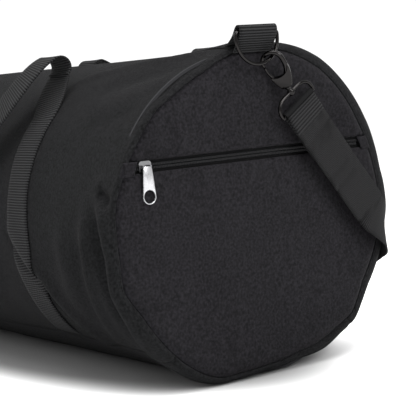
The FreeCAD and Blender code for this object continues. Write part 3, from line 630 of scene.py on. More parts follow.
zipLook = {
    "pitch": 0.00155, "tooth": 0.0031, "height": 0.0021, "fill": 0.86,
    "thick": 0.0006,                         # of both tapes
    "pocketTape": 0.0105, "pocketGap": 0.0016, "pocketPast": 0.004,
    "pocketInset": 0.0009, "pocketDeep": 0.0008,
    "mouthTape": 0.016, "mouthGap": 0.0017, "mouthPast": 0.003, "mouthDeep": 0.0022, "mouthCoilDeep": 0.0014,
}


def coilRow(name, count, frameAt, side):
    # frameAt(i) gives the place and axes (along, across, out) of tooth i
    work = bmesh.new()
    for i in range(count):
        origin, along, across, out = frameAt(i)
        tooth = toothMesh(zipLook["tooth"], zipLook["height"], zipLook["pitch"] * zipLook["fill"])
        turn = Matrix((along, across, out)).transposed().to_4x4()
        shift = Matrix.Translation(origin + across * (side * zipLook["tooth"] * 0.45))
        bmesh.ops.transform(tooth, matrix=shift @ turn, verts=tooth.verts)
        data = bpy.data.meshes.new("tooth")
        tooth.to_mesh(data)
        tooth.free()
        work.from_mesh(data)
        bpy.data.meshes.remove(data)
    data = bpy.data.meshes.new(name)
    work.to_mesh(data)
    work.free()
    return finishMesh(name, data)


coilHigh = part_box("pocket_zip_coil_lower")[1]
pocketCoilX = coilHigh.x - zipLook["pocketInset"]
chordHalf = coilHigh.y
for side, name in ((-1, "lower"), (1, "upper")):
    count = int(2 * chordHalf / zipLook["pitch"])

    def toothFrame(i):
        y = -chordHalf + (i + 0.5 + 0.25 * side) * zipLook["pitch"]
        return Vector((pocketCoilX, y, zipLevel)), Vector((0, 1, 0)), Vector((0, 0, 1)), Vector((1, 0, 0))

    coil = coilRow("pocketZipCoil" + name.title(), count, toothFrame, side)
    dress(coil, zipCoil)
    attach(coil, "bag")
    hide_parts("pocket_zip_coil_" + name)

    def tapePlace(u, v):
        y = -chordHalf - zipLook["pocketPast"] + (2 * chordHalf + 2 * zipLook["pocketPast"]) * u
        z = zipLevel + side * (zipLook["pocketGap"] + zipLook["pocketTape"] * v)
        x = np.full_like(y, pocketCoilX - zipLook["pocketDeep"])
        return np.stack([x, y, z], -1), np.stack([y, z], -1)

    tape = gridPiece("pocketZipTape" + name.title(), 60, 4, tapePlace)
    faceOut(tape, lambda middle: Vector((1, 0, 0)))
    solidify(tape, zipLook["thick"])
    dress(tape, zipTape)
    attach(tape, "bag")
    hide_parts("pocket_zip_tape_" + name)

for side in (-1, 1):
    for end in (0, 1, -1):
        x0, x1 = lipRange(end)
        if end > 0:
            x1 = mouth["window"] + zipLook["mouthPast"]
        if end < 0:
            x0 = -mouth["window"] - zipLook["mouthPast"]

        def tapePlace(u, v):
            x = x0 + (x1 - x0) * u
            turn = -side * (zipLook["mouthGap"] + zipLook["mouthTape"] * v) / barrel["radius"]
            return onBarrel(x, turn, -zipLook["mouthDeep"]), np.stack([x, turn * barrel["radius"]], -1)

        tape = gridPiece("mouthZipTape" + sideNames[side].title() + endNames[end], 50, 4, tapePlace)
        faceOut(tape, fromBarrel)
        solidify(tape, zipLook["thick"])
        dress(tape, zipTape)
        count = int((x1 - x0) / zipLook["pitch"])

        def toothFrame(i):
            x = np.array([x0 + (i + 0.5 + 0.25 * side) * zipLook["pitch"]])
            turn = np.array([0.0])
            point = onBarrel(x, turn, -zipLook["mouthCoilDeep"])[0]
            return Vector(point), Vector((1, 0, 0)), Vector((0, 1, 0)), Vector((0, 0, 1))

        coil = coilRow("mouthZipCoil" + sideNames[side].title() + endNames[end], count, toothFrame, side)
        dress(coil, zipCoil)
        for piece in (tape, coil):
            blendLip(piece, end)
        tapeNodes = ["mouth_zip_tape_" + sideNames[side]]
        if end:
            tapeNodes.append("mouth_zip_end_" + ("pocket_end" if end > 0 else "plain_end"))
        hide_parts(*tapeNodes)
        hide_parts("mouth_zip_coil_" + sideNames[side])
print("zips done")


# webbing
def ribbonPiece(name, points, acrosses, normals, width, thick, columns=8, crown=0.0):
    # webbing through stations: middle, unit across, unit face normal
    points, acrosses, normals = (np.array(v, float) for v in (points, acrosses, normals))
    lengths = np.concatenate([[0], np.cumsum(np.linalg.norm(np.diff(points, axis=0), axis=1))])

    def place(u, v):
        row = u * (len(points) - 1)
        low = np.clip(np.floor(row + 1e-6).astype(int), 0, len(points) - 1)
        side = (v - 0.5) * width
        spot = points[low] + acrosses[low] * side[:, None]
        spot = spot + normals[low] * (crown * (1 - (2 * v - 1) ** 2))[:, None]
        return spot, np.stack([lengths[low], side], -1)

    piece = gridPiece(name, len(points) - 1, columns, place)
    solidify(piece, thick, 0.0)
    return piece


strip = {
    "spread": 0.122, "width": 0.035, "low": 136.0, "sewn": 50.0, "crest": 32.0,
    "lean": 0.010, "lift": 0.0011, "crestLift": 0.012, "thick": 0.0015,
    "tuck": 0.0016, "tuckReach": 4.0,        # the lower end goes into the base seam
}


def stripPiece(name, side, end):
    sewn, free, columns = 70, 30, 8
    angles = np.concatenate([np.linspace(strip["low"], strip["sewn"], sewn),
                             np.linspace(strip["sewn"], strip["crest"], free + 1)[1:]])
    share = np.clip((strip["sewn"] - angles) / (strip["sewn"] - strip["crest"]), 0, 1)
    middle = strip["spread"] - strip["lean"] * share ** 2 * (3 - 2 * share)
    arc = np.radians(angles) * barrel["radius"]
    heading = np.stack([np.gradient(middle), np.gradient(arc)], -1)
    heading /= np.linalg.norm(heading, axis=1, keepdims=True)
    along = np.concatenate([[0], np.cumsum(np.hypot(np.diff(middle), np.diff(arc)))])

    def place(u, v):
        row = np.clip(np.round(u * (len(angles) - 1)).astype(int), 0, len(angles) - 1)
        offset = (v - 0.5) * strip["width"]
        x = end * (middle[row] + heading[row, 1] * offset)
        turn = (arc[row] - heading[row, 0] * offset) / barrel["radius"]
        lift = strip["lift"] + strip["crestLift"] * share[row] ** 2
        ending = (angles[row] - strip["low"] + strip["tuckReach"]) / strip["tuckReach"]
        lift = lift - strip["tuck"] * np.clip(ending, 0, 1)
        return onBarrel(x, -side * turn, lift), np.stack([along[row], offset], -1)

    piece = gridPiece(name, len(angles) - 1, columns, place)
    faceOut(piece, fromBarrel)
    return solidify(piece, strip["thick"], 0.0)


for side in (-1, 1):
    for end, endName in ((1, "pocket_end"), (-1, "plain_end")):
        piece = stripPiece("handleStrip" + sideNames[side].title() + endNames[end], side, end)
        dress(piece, blackWebbing)
        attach(piece, "bag")
        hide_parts("handle_strip_" + sideNames[side] + "_" + endName)

handle = {"drop": 0.092, "lift": 0.024, "fold": 0.00915, "width": 0.035, "start": 0.112,
          "bulgeDown": 0.030, "bulgeOut": 0.003}


def onRound(degrees, radius):
    a = math.radians(degrees)
    return Vector((0, -radius * math.sin(a), barrel["axis"] + radius * math.cos(a)))


def hangingProfile():
    # side view of a hanging loop: round the crest, then down outside its own legs
    middle = jointPlace["handle_front_lift"]
    out = (Vector((0, middle.y, middle.z - barrel["axis"]))).normalized()
    up = Vector((0, out.z, -out.y))
    if up.z < 0:
        up = -up
    points = [middle - out * (handle["fold"] * math.cos(math.pi * i / 24))
              + up * (handle["fold"] * math.sin(math.pi * i / 24)) for i in range(25)]
    lowTurn = strip["crest"] + math.degrees(handle["drop"] / barrel["radius"])
    low = onRound(lowTurn, barrel["radius"] + handle["lift"])
    top = points[-1]
    bulge = top - up * handle["bulgeDown"] + out * handle["bulgeOut"]
    for i in range(1, 61):
        t = i / 60
        points.append(top * (1 - t) ** 2 + bulge * (2 * t * (1 - t)) + low * t * t)
    return [Vector((0, p.y, p.z)) for p in points]


def pointAt(points, length):
    for p, q in zip(points, points[1:]):
        step = (q - p).length
        if length <= step:
            return p + (q - p) * (length / step)
        length -= step
    return points[-1]


def loopPiece(name, side):
    profile = hangingProfile()
    total = sum((q - p).length for p, q in zip(profile, profile[1:]))
    fold = math.pi * handle["fold"]
    first = math.asin(fold / total)
    turns = [math.asin(fold * i / 16 / total) for i in range(16)]
    turns += [first + (math.pi / 2 - first) * i / 40 for i in range(41)]
    points, normals = [], []
    for turn in turns:
        s = total * math.sin(turn)
        ahead = pointAt(profile, min(s + 0.0006, total)) - pointAt(profile, max(s - 0.0006, 0))
        p = pointAt(profile, s)
        points.append(Vector((handle["start"] * math.cos(turn), p.y, p.z)))
        normals.append(ahead.normalized().cross(Vector((1, 0, 0))))
    points += [Vector((-p.x, p.y, p.z)) for p in reversed(points[:-1])]
    normals += [n.copy() for n in reversed(normals[:-1])]
    acrosses, faces = [], []
    for i, (p, n) in enumerate(zip(points, normals)):
        ahead = (points[min(i + 1, len(points) - 1)] - points[max(i - 1, 0)]).normalized()
        across = ahead.cross(n).normalized()
        acrosses.append(across)
        faces.append(across.cross(ahead).normalized())
    if side > 0:
        rows = (points, acrosses, faces)
        points, acrosses, faces = ([Vector((v.x, -v.y, v.z)) for v in row] for row in rows)
    return ribbonPiece(name, points, acrosses, faces, handle["width"], strip["thick"])


for side, body in ((-1, "handle_front"), (1, "handle_back")):
    piece = loopPiece("handleLoop" + sideNames[side].title(), side)
    dress(piece, blackWebbing)
    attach(piece, body)
    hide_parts("handle_loop_" + sideNames[side])
print("handles done")

# shoulder strap: from its loop, down across the end, round the edge and along the back
strap = {
    "width": 0.038, "thick": 0.0015, "tilt": 37.0, "standoff": 0.012, "turn": 0.030, "side": 0.009,
    "sag": 0.022, "dip": 0.008, "sewn": 0.046, "return": 0.134, "layerGap": 0.0004, "layerNear": 0.016,
    "hookTilt": 34.0, "drop": 0.043,         # of the hook, and from its swivel to the strap's bar
    "loopWire": 0.0034,
}


def strapPath():
    tilt, hookTilt = math.radians(strap["tilt"]), math.radians(strap["hookTilt"])
    down = Vector((0, math.sin(tilt), -math.cos(tilt)))
    hookDown = Vector((0, math.sin(hookTilt), -math.cos(hookTilt)))
    flat = Vector((0, math.cos(hookTilt), math.sin(hookTilt)))
    swivel = jointPlace["hook_pocket_end_swivel"]
    bar = swivel + hookDown * strap["drop"]
    face = barrel["half"] + strap["standoff"]
    start = bar + Vector((strap["loopWire"] / 2 + 0.00015 + strap["thick"] / 2, 0, 0))
    turnY = barrel["radius"] + strap["side"] - strap["turn"]
    run = (turnY - start.y) / math.sin(tilt)
    points, normals = [start], [Vector((1, 0, 0))]
    for i in range(1, 33):
        t = i / 32
        ease = min(1.0, t * 2)
        p = start + down * (run * t)
        p += (hookDown - down) * (run * t * (1 - t) ** 3)
        p.x = start.x * (1 - ease) + face * ease
        points.append(p)
        normals.append(Vector((1, 0, 0)))
    corner = points[-1]
    slope = strap["turn"] / math.tan(tilt)
    for i in range(1, 25):
        a = math.pi / 2 * i / 24
        fall = slope * (math.sin(a) * 0.75 - 0.1 * math.sin(2 * a))
        points.append(Vector((face - strap["turn"] + strap["turn"] * math.cos(a),
                              turnY + strap["turn"] * math.sin(a), corner.z - fall)))
        normals.append(Vector((math.cos(a), math.sin(a), 0)))
    last = points[-1]
    for i in range(1, 49):
        t = i / 48
        points.append(Vector((last.x * (1 - t), last.y - strap["dip"] * math.sin(math.pi * t / 2),
                              strap["sag"] + (last.z - strap["sag"]) * (1 - t) ** 2)))
        normals.append(Vector((0, 1, 0)))
    acrosses, faces = [], []
    for i, (p, n) in enumerate(zip(points, normals)):
        before = points[i - 1]
        after = points[i + 1] if i + 1 < len(points) else Vector((-before.x, before.y, before.z))
        ahead = (after - points[max(i - 1, 0)]).normalized()
        across = ahead.cross(n).normalized()
        acrosses.append(across)
        faces.append(across.cross(ahead).normalized())
    acrosses[0], faces[0] = -flat, Vector((1, 0, 0))
    return points, acrosses, faces


strapPoints, strapAcross, strapFaces = strapPath()


def flipX(vectors):
    return [Vector((-v.x, v.y, v.z)) for v in vectors]


piece = ribbonPiece("shoulderStrap", strapPoints + flipX(reversed(strapPoints[:-1])),
                    strapAcross + flipX(reversed(strapAcross[:-1])),
                    strapFaces + flipX(reversed(strapFaces[:-1])), strap["width"], strap["thick"])
dress(piece, strapWebbing)
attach(piece, "bag")
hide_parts("shoulder_strap")


def strapLayer(name, length, node, mirror):
    reach = strap["loopWire"] + 0.0003 + strap["thick"]
    done, points, acrosses, faces = 0.0, [], [], []
    for i, (p, a, n) in enumerate(zip(strapPoints, strapAcross, strapFaces)):
        done += (p - strapPoints[i - 1]).length if i else 0
        near = max(0.0, 1 - done / strap["layerNear"])
        step = strap["thick"] + strap["layerGap"] + (reach - strap["thick"] - strap["layerGap"]) * near
        points.append(p - n * step)
        acrosses.append(a)
        faces.append(n)
        if done > length:
            break
    if mirror:
        points, acrosses, faces = flipX(points), flipX(acrosses), flipX(faces)
    piece = ribbonPiece(name, points, acrosses, faces, strap["width"] - 0.0005, strap["thick"])
    dress(piece, strapWebbing)
    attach(piece, "bag")
    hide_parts(node)


strapLayer("strapSewnEnd", strap["sewn"], "strap_sewn_end", False)
strapLayer("strapReturn", strap["return"], "strap_return", True)
print("strap done")


# wire and metal pieces
def splinePath(points, steps):
    # smooth curve near its control points, held at both ends
    held = [points[0] * 2 - points[1]] + list(points) + [points[-1] * 2 - points[-2]]
    path = []
    for i in range(len(points) - 1):
        a, b, c, d = held[i:i + 4]
        for k in range(steps):
            t = k / steps
            path.append((a * (1 - t) ** 3 + b * (3 * t ** 3 - 6 * t ** 2 + 4)
                         + c * (-3 * t ** 3 + 3 * t ** 2 + 3 * t + 1) + d * t ** 3) / 6)
    path.append(points[-1].copy())
    return path


def tubePiece(name, path, radii, around=14, joined=False):
    # round wire along a path; radii is one number or one for each point; joined closes it to a ring
    count = len(path)
    radii = [radii] * count if isinstance(radii, float) else radii
    ahead = []
    for i in range(count):
        after = path[(i + 1) % count] if joined else path[min(i + 1, count - 1)]
        before = path[i - 1] if joined else path[max(i - 1, 0)]
        ahead.append((after - before).normalized())
    side = ahead[0].orthogonal().normalized()
    sides = []
    for direction in ahead:
        side = (side - direction * side.dot(direction)).normalized()
        sides.append(side)
    stations = list(range(count)) + ([0] if joined else [])

    def place(u, v):
        rows = np.round(u * (len(stations) - 1)).astype(int)
        points = []
        for row, turn in zip(rows, v * 2 * math.pi):
            i = stations[row]
            a = sides[i]
            b = ahead[i].cross(a)
            points.append(path[i] + (a * math.cos(turn) + b * math.sin(turn)) * radii[i])
        return np.array([list(p) for p in points]), np.stack([u, v], -1)

    return faceOutward(gridPiece(name, len(stations) - 1, around, place, closed=True), path)


def faceOutward(piece, path):
    # outward is away from the nearest point of the wire's own path
    votes = 0
    for face in list(piece.data.polygons)[::11]:
        near = min(path, key=lambda p: (p - face.center).length_squared)
        votes += 1 if face.normal.dot(face.center - near) > 0 else -1
    if votes < 0:
        piece.data.flip_normals()
    return piece


def slab(name, outline, thick, edge):
    # flat piece with rounded edges, drawn in X and Z and thick along Y
    work = bmesh.new()
    verts = [work.verts.new((x, -thick / 2, z)) for x, z in outline]
    face = work.faces.new(verts)
    body = bmesh.ops.extrude_face_region(work, geom=[face])
    moved = [v for v in body["geom"] if isinstance(v, bmesh.types.BMVert)]
    bmesh.ops.translate(work, verts=moved, vec=(0, thick, 0))
    bmesh.ops.recalc_face_normals(work, faces=work.faces)
    bmesh.ops.bevel(work, geom=work.edges[:], offset=edge, offset_type="OFFSET", affect="EDGES",
                    segments=3, profile=0.5, material=-1)
    data = bpy.data.meshes.new(name)
    work.to_mesh(data)
    work.free()
    return finishMesh(name, data)


def setIn(piece, matrix, mirror=False):
    # bakes a placing into the mesh, and the mirror image for the plain end
    if mirror:
        matrix = Matrix.Diagonal((-1, 1, 1, 1)) @ matrix
    piece.data.transform(matrix)
    if matrix.determinant() < 0:
        piece.data.flip_normals()
    return piece


def mount(piece, material, slotName, body, *covered):
    dress(piece, material)
    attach(piece, body)
    if covered:
        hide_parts(*covered)


hookLook = {
    "roll": 53.0,                            # turn about its own line, from flat on the end
    "eye": 0.0091, "rise": 0.003, "armThick": 0.0022, "armThin": 0.0015, "gate": 0.0012,
    "tip": (0.05, 0.6, 0.85, 0.97),          # the arm's rounded tip, as shares of its radius
    "nose": [(0.0088, -0.004), (0.0072, -0.0085), (0.0045, -0.0125), (0.002, -0.0150)],
    "foot": [(-0.0090, -0.0088), (-0.0062, -0.0106), (-0.0030, -0.0117), (0.0008, -0.0118), (0.0040, -0.0108),
             (0.0068, -0.0088), (0.0088, -0.0062), (0.0104, -0.0040), (0.0107, -0.0078), (0.0098, -0.0125),
             (0.0082, -0.0172), (0.0060, -0.0218), (0.0047, -0.0237), (-0.0043, -0.0237), (-0.0057, -0.0214),
             (-0.0077, -0.0166), (-0.0089, -0.0124)],
    "footThick": 0.0052, "footEdge": 0.0009,
    "gatePath": [(-0.0070, -0.0116), (-0.0084, -0.0075), (-0.0092, -0.0030), (-0.0089, 0.0006)],
}


def gearFrame(joint):
    # the hook's own axes: Z up the hook, X across the eye
    tilt, roll = math.radians(strap["hookTilt"]), math.radians(hookLook["roll"])
    up = Vector((0, -math.sin(tilt), math.cos(tilt)))
    flat = Vector((0, math.cos(tilt), math.sin(tilt)))
    across = (flat * math.cos(roll) + Vector((math.sin(roll), 0, 0))).normalized()
    origin = jointPlace[joint]
    hook = Matrix((across, up.cross(across), up)).transposed().to_4x4()
    level = Matrix((flat, Vector((-1, 0, 0)), up)).transposed().to_4x4()
    return Matrix.Translation(origin) @ hook, Matrix.Translation(origin) @ level


hookAt, levelAt = gearFrame("hook_pocket_end_swivel")


def flatPoint(x, z):
    return Vector((x, 0, z))


def makeHook(title, endName, mirror):
    # the arm runs round the eye, thin at its tip and thick at the nose, into a flat foot
    eye, rise = hookLook["eye"], hookLook["rise"]
    arc = [flatPoint(-eye * math.cos(a), rise + eye * math.sin(a)) for a in np.linspace(-0.25, math.pi, 40)]
    nose = [arc[-1], flatPoint(eye, rise - 0.003)] + [flatPoint(x, z) for x, z in hookLook["nose"]]
    path = arc + splinePath(nose, 8)[1:]
    swell = hookLook["armThick"] - hookLook["armThin"]
    radii = [hookLook["armThin"] + swell * min(1, max(0, (i - 6) / 26)) for i in range(len(path))]
    for i, share in enumerate(hookLook["tip"]):
        radii[i] *= share
    hook = setIn(tubePiece("hookArm" + title, path, radii, 16), hookAt, mirror)
    mount(hook, blackNickel, "black_nickel", "hook_" + endName, "hook_body_" + endName)
    foot = slab("hookFoot" + title, hookLook["foot"], hookLook["footThick"], hookLook["footEdge"])
    mount(setIn(foot, hookAt, mirror), blackNickel, "black_nickel", "hook_" + endName, "gate_pin_" + endName)
    gate = splinePath([flatPoint(x, z) for x, z in hookLook["gatePath"]], 8)
    gatePiece = setIn(tubePiece("hookGate" + title, gate, hookLook["gate"], 12), hookAt, mirror)
    mount(gatePiece, blackNickel, "black_nickel", "gate_" + endName, "hook_gate_" + endName)


loopLook = {
    "wire": 0.0016, "half": 0.0214,
    # one side of the bow, from the bar up: in from the loop's half width, up from the bar
    "side": [(0.0, 0.0), (-0.0005, 0.003), (0.0003, 0.0075), (0.0035, 0.0115), (0.009, 0.0135)],
    "top": [(-0.006, 0.0136), (0.006, 0.0136)],
}
studLook = [(-0.0233, 0.0024), (-0.0237, 0.0030), (-0.0241, 0.0031), (-0.0251, 0.0030), (-0.0259, 0.0019),
            (-0.0265, 0.0019), (-0.0275, 0.0030), (-0.0287, 0.0034), (-0.0307, 0.0034), (-0.0321, 0.0029),
            (-0.0325, 0.0001)]               # height and radius down the stud


def makeLoop(title, endName, mirror):
    # the strap's loop hangs level under the swivel stud
    half, drop = loopLook["half"], -strap["drop"]
    shape = [(-half + x, drop + z) for x, z in loopLook["side"]]
    shape += [(x, drop + z) for x, z in loopLook["top"]]
    shape += [(half - x, drop + z) for x, z in reversed(loopLook["side"])]
    bail = splinePath([flatPoint(*p) for p in shape], 6)
    base = [flatPoint(x, drop) for x in np.linspace(half, -half, 12)[1:-1]]
    loop = setIn(tubePiece("strapLoop" + title, bail + base, loopLook["wire"], 14, True), levelAt, mirror)
    mount(loop, blackNickel, "black_nickel", "bag", "strap_loop_" + endName)
    studPath = [flatPoint(0, z) for z, wide in studLook]
    stud = tubePiece("swivelStud" + title, studPath, [wide for z, wide in studLook], 18)
    mount(setIn(stud, levelAt, mirror), blackNickel, "black_nickel", "bag", "swivel_stud_" + endName)


ringLook = {
    "reach": 0.0225, "leg": 0.0055, "wire": 0.00165,
    # half of the straight top: shares of the reach, and of the leg below the bar's line
    "top": [(1.0, 0.6), (0.99, 0.28), (0.95, 0.08), (0.89, 0.0), (0.5, 0.0)],
}
tabLook = {
    "width": 0.040, "thick": 0.0015,
    "path": [(-0.014, 0.0012), (-0.006, 0.0032), (0.003, 0.0100), (0.0062, 0.0153), (0.0084, 0.0185),
             (0.0114, 0.0199), (0.0143, 0.0180), (0.0143, 0.0130), (0.0108, 0.0070), (0.0062, 0.0018),
             (0.0025, -0.0030)],
}


def makeRing(title, endName, mirror):
    # a bow hanging from two short legs, held by the tab round its straight top
    bar = jointPlace["ring_pocket_end_swing"]
    reach, leg = ringLook["reach"], ringLook["leg"]
    bow = [bar + Vector((0, -reach * math.cos(a), -leg - reach * math.sin(a)))
           for a in np.linspace(0, math.pi, 48)]
    tops = [bar + Vector((0, reach * wide, -leg * low)) for wide, low in ringLook["top"]] + [bar.copy()]
    tops += [bar + Vector((0, -reach * wide, -leg * low)) for wide, low in reversed(ringLook["top"])]
    ring = tubePiece("dRing" + title, bow + tops, ringLook["wire"], 14, True)
    setIn(ring, Matrix.Identity(4), mirror)
    mount(ring, blackNickel, "black_nickel", "ring_" + endName, "d_ring_" + endName)
    origin = Vector((barrel["half"], bar.y, barrel["axis"] + barrel["radius"]))
    side = splinePath([origin + Vector((x, 0, z)) for x, z in tabLook["path"]], 6)
    normals = []
    for i in range(len(side)):
        ahead = (side[min(i + 1, len(side) - 1)] - side[max(i - 1, 0)]).normalized()
        normals.append(Vector((-ahead.z, 0, ahead.x)))
    acrosses = [Vector((0, 1, 0))] * len(side)
    tab = ribbonPiece("ringTab" + title, side, acrosses, normals, tabLook["width"], tabLook["thick"])
    mount(setIn(tab, Matrix.Identity(4), mirror), tabWebbing, "webbing", "bag", "ring_tab_" + endName)


for end, endName in ((1, "pocket_end"), (-1, "plain_end")):
    makeHook(endNames[end], endName, end < 0)
    makeLoop(endNames[end], endName, end < 0)
    makeRing(endNames[end], endName, end < 0)
print("gear done")


# cloth tabs over the zip ends
clothTab = {
    "thick": 0.0009, "crown": 0.0007, "lift": 0.0006,
    "below": 0.0072, "high": 0.0122,         # at the pocket's zip
    "front": 0.0125, "back": 0.0120, "proud": 0.0005, "tuck": 0.0030,
    "halfTurn": 6.5,                         # at the mouth's zip, in degrees round the barrel
}


def patchPiece(name, place, away, material, slotName, node):
    piece = gridPiece(name, 14, 14, place)
    faceOut(piece, away)
    solidify(piece, clothTab["thick"])
    mount(piece, material, slotName, "bag", node)


for side, name in sideNames.items():
    def place(u, v):
        z = zipLevel - clothTab["below"] + clothTab["high"] * v
        edge = np.sqrt(barrel["radius"] ** 2 - (z - barrel["axis"]) ** 2)
        y = side * (edge + clothTab["lift"] - (clothTab[name] + clothTab["lift"]) * u)
        border = np.minimum(np.minimum(v, 1 - v) * 9, np.clip((1 - u) * 12, 0, 1))
        x = barrel["half"] + clothTab["proud"] + clothTab["crown"] * np.clip(border, 0, 1)
        x = x - clothTab["tuck"] * np.clip(1 - u * 4, 0, 1) ** 2
        return np.stack([x, y, z], -1), np.stack([y, z], -1)

    patchPiece("pocketZipTab" + name.title(), place, lambda middle: Vector((1, 0, 0)),
               endCanvas, "end_canvas", "pocket_zip_tab_" + name)

for end, endName in ((1, "pocket_end"), (-1, "plain_end")):
    def place(u, v):
        x = end * (mouth["window"] - 0.002 + (barrel["half"] - mouth["window"] - 0.001) * u)
        turn = (v - 0.5) * 2 * math.radians(clothTab["halfTurn"])
        border = np.clip(np.minimum(np.minimum(v, 1 - v) * 10, u * 10), 0, 1)
        lift = clothTab["lift"] + clothTab["crown"] * border
        return onBarrel(x, turn, lift), np.stack([x, turn * barrel["radius"]], -1)

    patchPiece("mouthZipTab" + endNames[end], place, fromBarrel, bodyCanvas, "body_canvas",
               "mouth_zip_tab_" + endName)

# sliders' pulls
pullLook = {"hole": 0.0055, "edge": 0.00035, "steps": 72, "narrow": 0.66, "headGap": 0.0012, "round": 0.0022,
            "thick": 0.0015}


def pullReach(angle, wide, length):
    # from the middle of the hole out to the plate's edge, towards an angle
    dx, dy = math.cos(angle), math.sin(angle)
    reach = wide
    if dy > 0:
        top, corner = wide * pullLook["narrow"], pullLook["round"]
        above = length - wide - pullLook["headGap"]
        for k in range(1, 200):
            d = 0.0002 * k
            x, y = abs(dx) * d, dy * d
            limit = wide + (top - wide) * min(1, y / above)
            if y > above - corner:
                limit -= corner - math.sqrt(max(0.0, corner ** 2 - min(corner, y - above + corner) ** 2))
            if x > limit or y > above:
                break
            reach = d
    return reach


def pullPiece(name, node, flatAxis, body):
    # a plate that widens downwards to a round hole
    low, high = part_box(node)
    vertical = flatAxis == "x"
    length = (high.z - low.z) if vertical else (high.x - low.x)
    wide = (high.y - low.y) / 2
    work = bmesh.new()
    for hole in (False, True):
        ring = bmesh.ops.create_circle(work, cap_ends=False, segments=pullLook["steps"], radius=1.0)
        for vert in ring["verts"]:
            share = math.atan2(vert.co.y, vert.co.x) / (2 * math.pi)
            angle = 2 * math.pi * (round(share * pullLook["steps"]) % pullLook["steps"]) / pullLook["steps"]
            reach = pullLook["hole"] if hole else pullReach(angle, wide, length)
            vert.co = (math.cos(angle) * reach, 0, math.sin(angle) * reach)
    bmesh.ops.bridge_loops(work, edges=work.edges[:])
    thick = pullLook["thick"]
    extruded = bmesh.ops.extrude_face_region(work, geom=work.faces[:])
    moved = [v for v in extruded["geom"] if isinstance(v, bmesh.types.BMVert)]
    bmesh.ops.translate(work, verts=moved, vec=(0, thick, 0))
    bmesh.ops.recalc_face_normals(work, faces=work.faces)
    sharp = [edge for edge in work.edges if len(edge.link_faces) == 2 and edge.calc_face_angle(0) > 1.0]
    bmesh.ops.bevel(work, geom=sharp, offset=pullLook["edge"], offset_type="OFFSET", affect="EDGES",
                    segments=2, profile=0.5, material=-1)
    data = bpy.data.meshes.new(name)
    work.to_mesh(data)
    work.free()
    piece = finishMesh(name, data)
    middleY = (low.y + high.y) / 2
    if vertical:
        # the plate lies inside the box's outer face
        turn = Matrix(((0, -1, 0), (1, 0, 0), (0, 0, 1))).to_4x4()
        place = Matrix.Translation((high.x, middleY, low.z + wide)) @ turn
    else:
        swing = jointPlace["mouth_pull_swing"].x
        headUp = 1 if abs(swing - high.x) < abs(swing - low.x) else -1
        turn = Matrix(((0, 0, headUp), (headUp, 0, 0), (0, 1, 0))).to_4x4()
        centre = low.x + wide if headUp > 0 else high.x - wide
        place = Matrix.Translation((centre, middleY, high.z - thick)) @ turn
    mount(setIn(piece, place), brightNickel, "pull_metal", body, node)


pullPiece("pocketZipPull", "pocket_zip_pull", "x", "pocket_pull")
pullPiece("mouthZipPull", "mouth_zip_pull", "z", "mouth_pull")

# pieces kept as the frame has them
finishes = {
    "mouth_zip_slider": sliderNickel, "pocket_zip_slider": sliderNickel, "seam_binding_": bindingCloth,
    "strap_adjuster": mouldedBlack, "strap_fold_": strapWebbing,
}
for nodeName, node in nodes.items():
    for start, material in finishes.items():
        if nodeName.startswith(start):
            node.data.materials.clear()
            node.data.materials.append(material)

# floor, light and camera
floorLook = {
    "pale": (0.955, 0.955, 0.955), "roughness": 0.95,
    "under": (0.16, 0.16, 0.16),             # painted shadow: the floor's own colour goes darker just under the bag
    "shade": (0.34, 0.150, 1.0), "from": 0.80, "to": 1.22,
}
floorMesh = bpy.data.meshes.new("floor")
work = bmesh.new()
bmesh.ops.create_grid(work, x_segments=1, y_segments=1, size=6.0)
work.to_mesh(floorMesh)
work.free()
floor = bpy.data.objects.new("floor", floorMesh)
bpy.context.scene.collection.objects.link(floor)
floorMaterial, floorTree, floorShader = newMaterial("paleFloorPaintedShadow", floorLook["pale"], floorLook["roughness"])
floorMesh.materials.append(floorMaterial)
floorPlace = addNode(floorTree, "ShaderNodeTexCoord")
floorShare = addNode(floorTree, "ShaderNodeVectorMath", operation="DIVIDE")
floorShare.inputs[1].default_value = floorLook["shade"]
floorTree.links.new(floorPlace.outputs["Object"], floorShare.inputs[0])
floorAway = addNode(floorTree, "ShaderNodeVectorMath", operation="LENGTH")
floorTree.links.new(floorShare.outputs[0], floorAway.inputs[0])
# painted shadow: the floor's colour fades from dark under the bag to pale further out, standing in for part
# of its contact shadow
paintedShadowFade = addNode(floorTree, "ShaderNodeMapRange", interpolation_type="SMOOTHSTEP")
paintedShadowFade.inputs["From Min"].default_value = floorLook["from"]
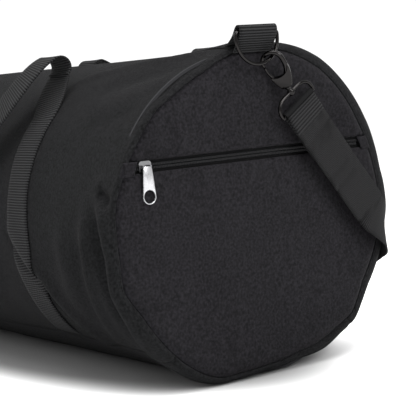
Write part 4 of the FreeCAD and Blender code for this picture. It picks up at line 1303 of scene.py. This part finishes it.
paintedShadowFade.inputs["From Max"].default_value = floorLook["to"]
floorTree.links.new(floorAway.outputs["Value"], paintedShadowFade.inputs["Value"])
floorPaintedShadowColor = mixColor(floorTree, paintedShadowFade.outputs["Result"], floorLook["under"], floorLook["pale"])
floorTree.links.new(floorPaintedShadowColor, floorShader.inputs["Base Color"])

world = bpy.data.worlds.new("studio")
bpy.context.scene.world = world
world.use_nodes = True
world.node_tree.nodes["Background"].inputs["Color"].default_value = (1, 1, 1, 1)
world.node_tree.nodes["Background"].inputs["Strength"].default_value = 1.07

# each soft light: its place, what it faces, its size and its power
lights = {
    "topLight": ((0.5, -0.3, 1.9), (0.1, 0, 0.1), (1.6, 1.2), 50),
    "glintLight": ((1.25, -0.95, 1.05), (0.3, 0.02, 0.28), (0.03, 0.30), 1.3),
    "leftLight": ((-0.9, -1.7, 1.3), (0.1, 0, 0.15), (1.0, 1.2), 14),
    "rightLight": ((2.0, 0.3, 1.2), (0.2, 0, 0.15), (0.9, 1.1), 45),
}
for name, (place, target, size, power) in lights.items():
    light = bpy.data.lights.new(name, "AREA")
    light.shape = "RECTANGLE"
    light.size, light.size_y = size
    light.energy = power
    lamp = bpy.data.objects.new(name, light)
    bpy.context.scene.collection.objects.link(lamp)
    lamp.location = place
    lamp.rotation_euler = (Vector(target) - Vector(place)).to_track_quat("-Z", "Y").to_euler()

camera = {"place": (1.21163, -0.71485, 0.2619), "ahead": (-0.80859, 0.58083, -0.09386), "roll": -4.34,
          "lens": 116.4}
cameraData = bpy.data.cameras.new("camera")
cameraData.lens = camera["lens"]
cameraData.sensor_width = 36
cameraData.clip_end = 50
cameraObject = bpy.data.objects.new("camera", cameraData)
bpy.context.scene.collection.objects.link(cameraObject)
facing = Vector(camera["ahead"]).to_track_quat("-Z", "Y").to_matrix().to_4x4()
roll = Matrix.Rotation(math.radians(camera["roll"]), 4, "Z")
cameraObject.matrix_world = Matrix.Translation(camera["place"]) @ facing @ roll
bpy.context.scene.camera = cameraObject
bpy.context.scene.view_settings.view_transform = "Standard"
print("floor, lights and camera done")
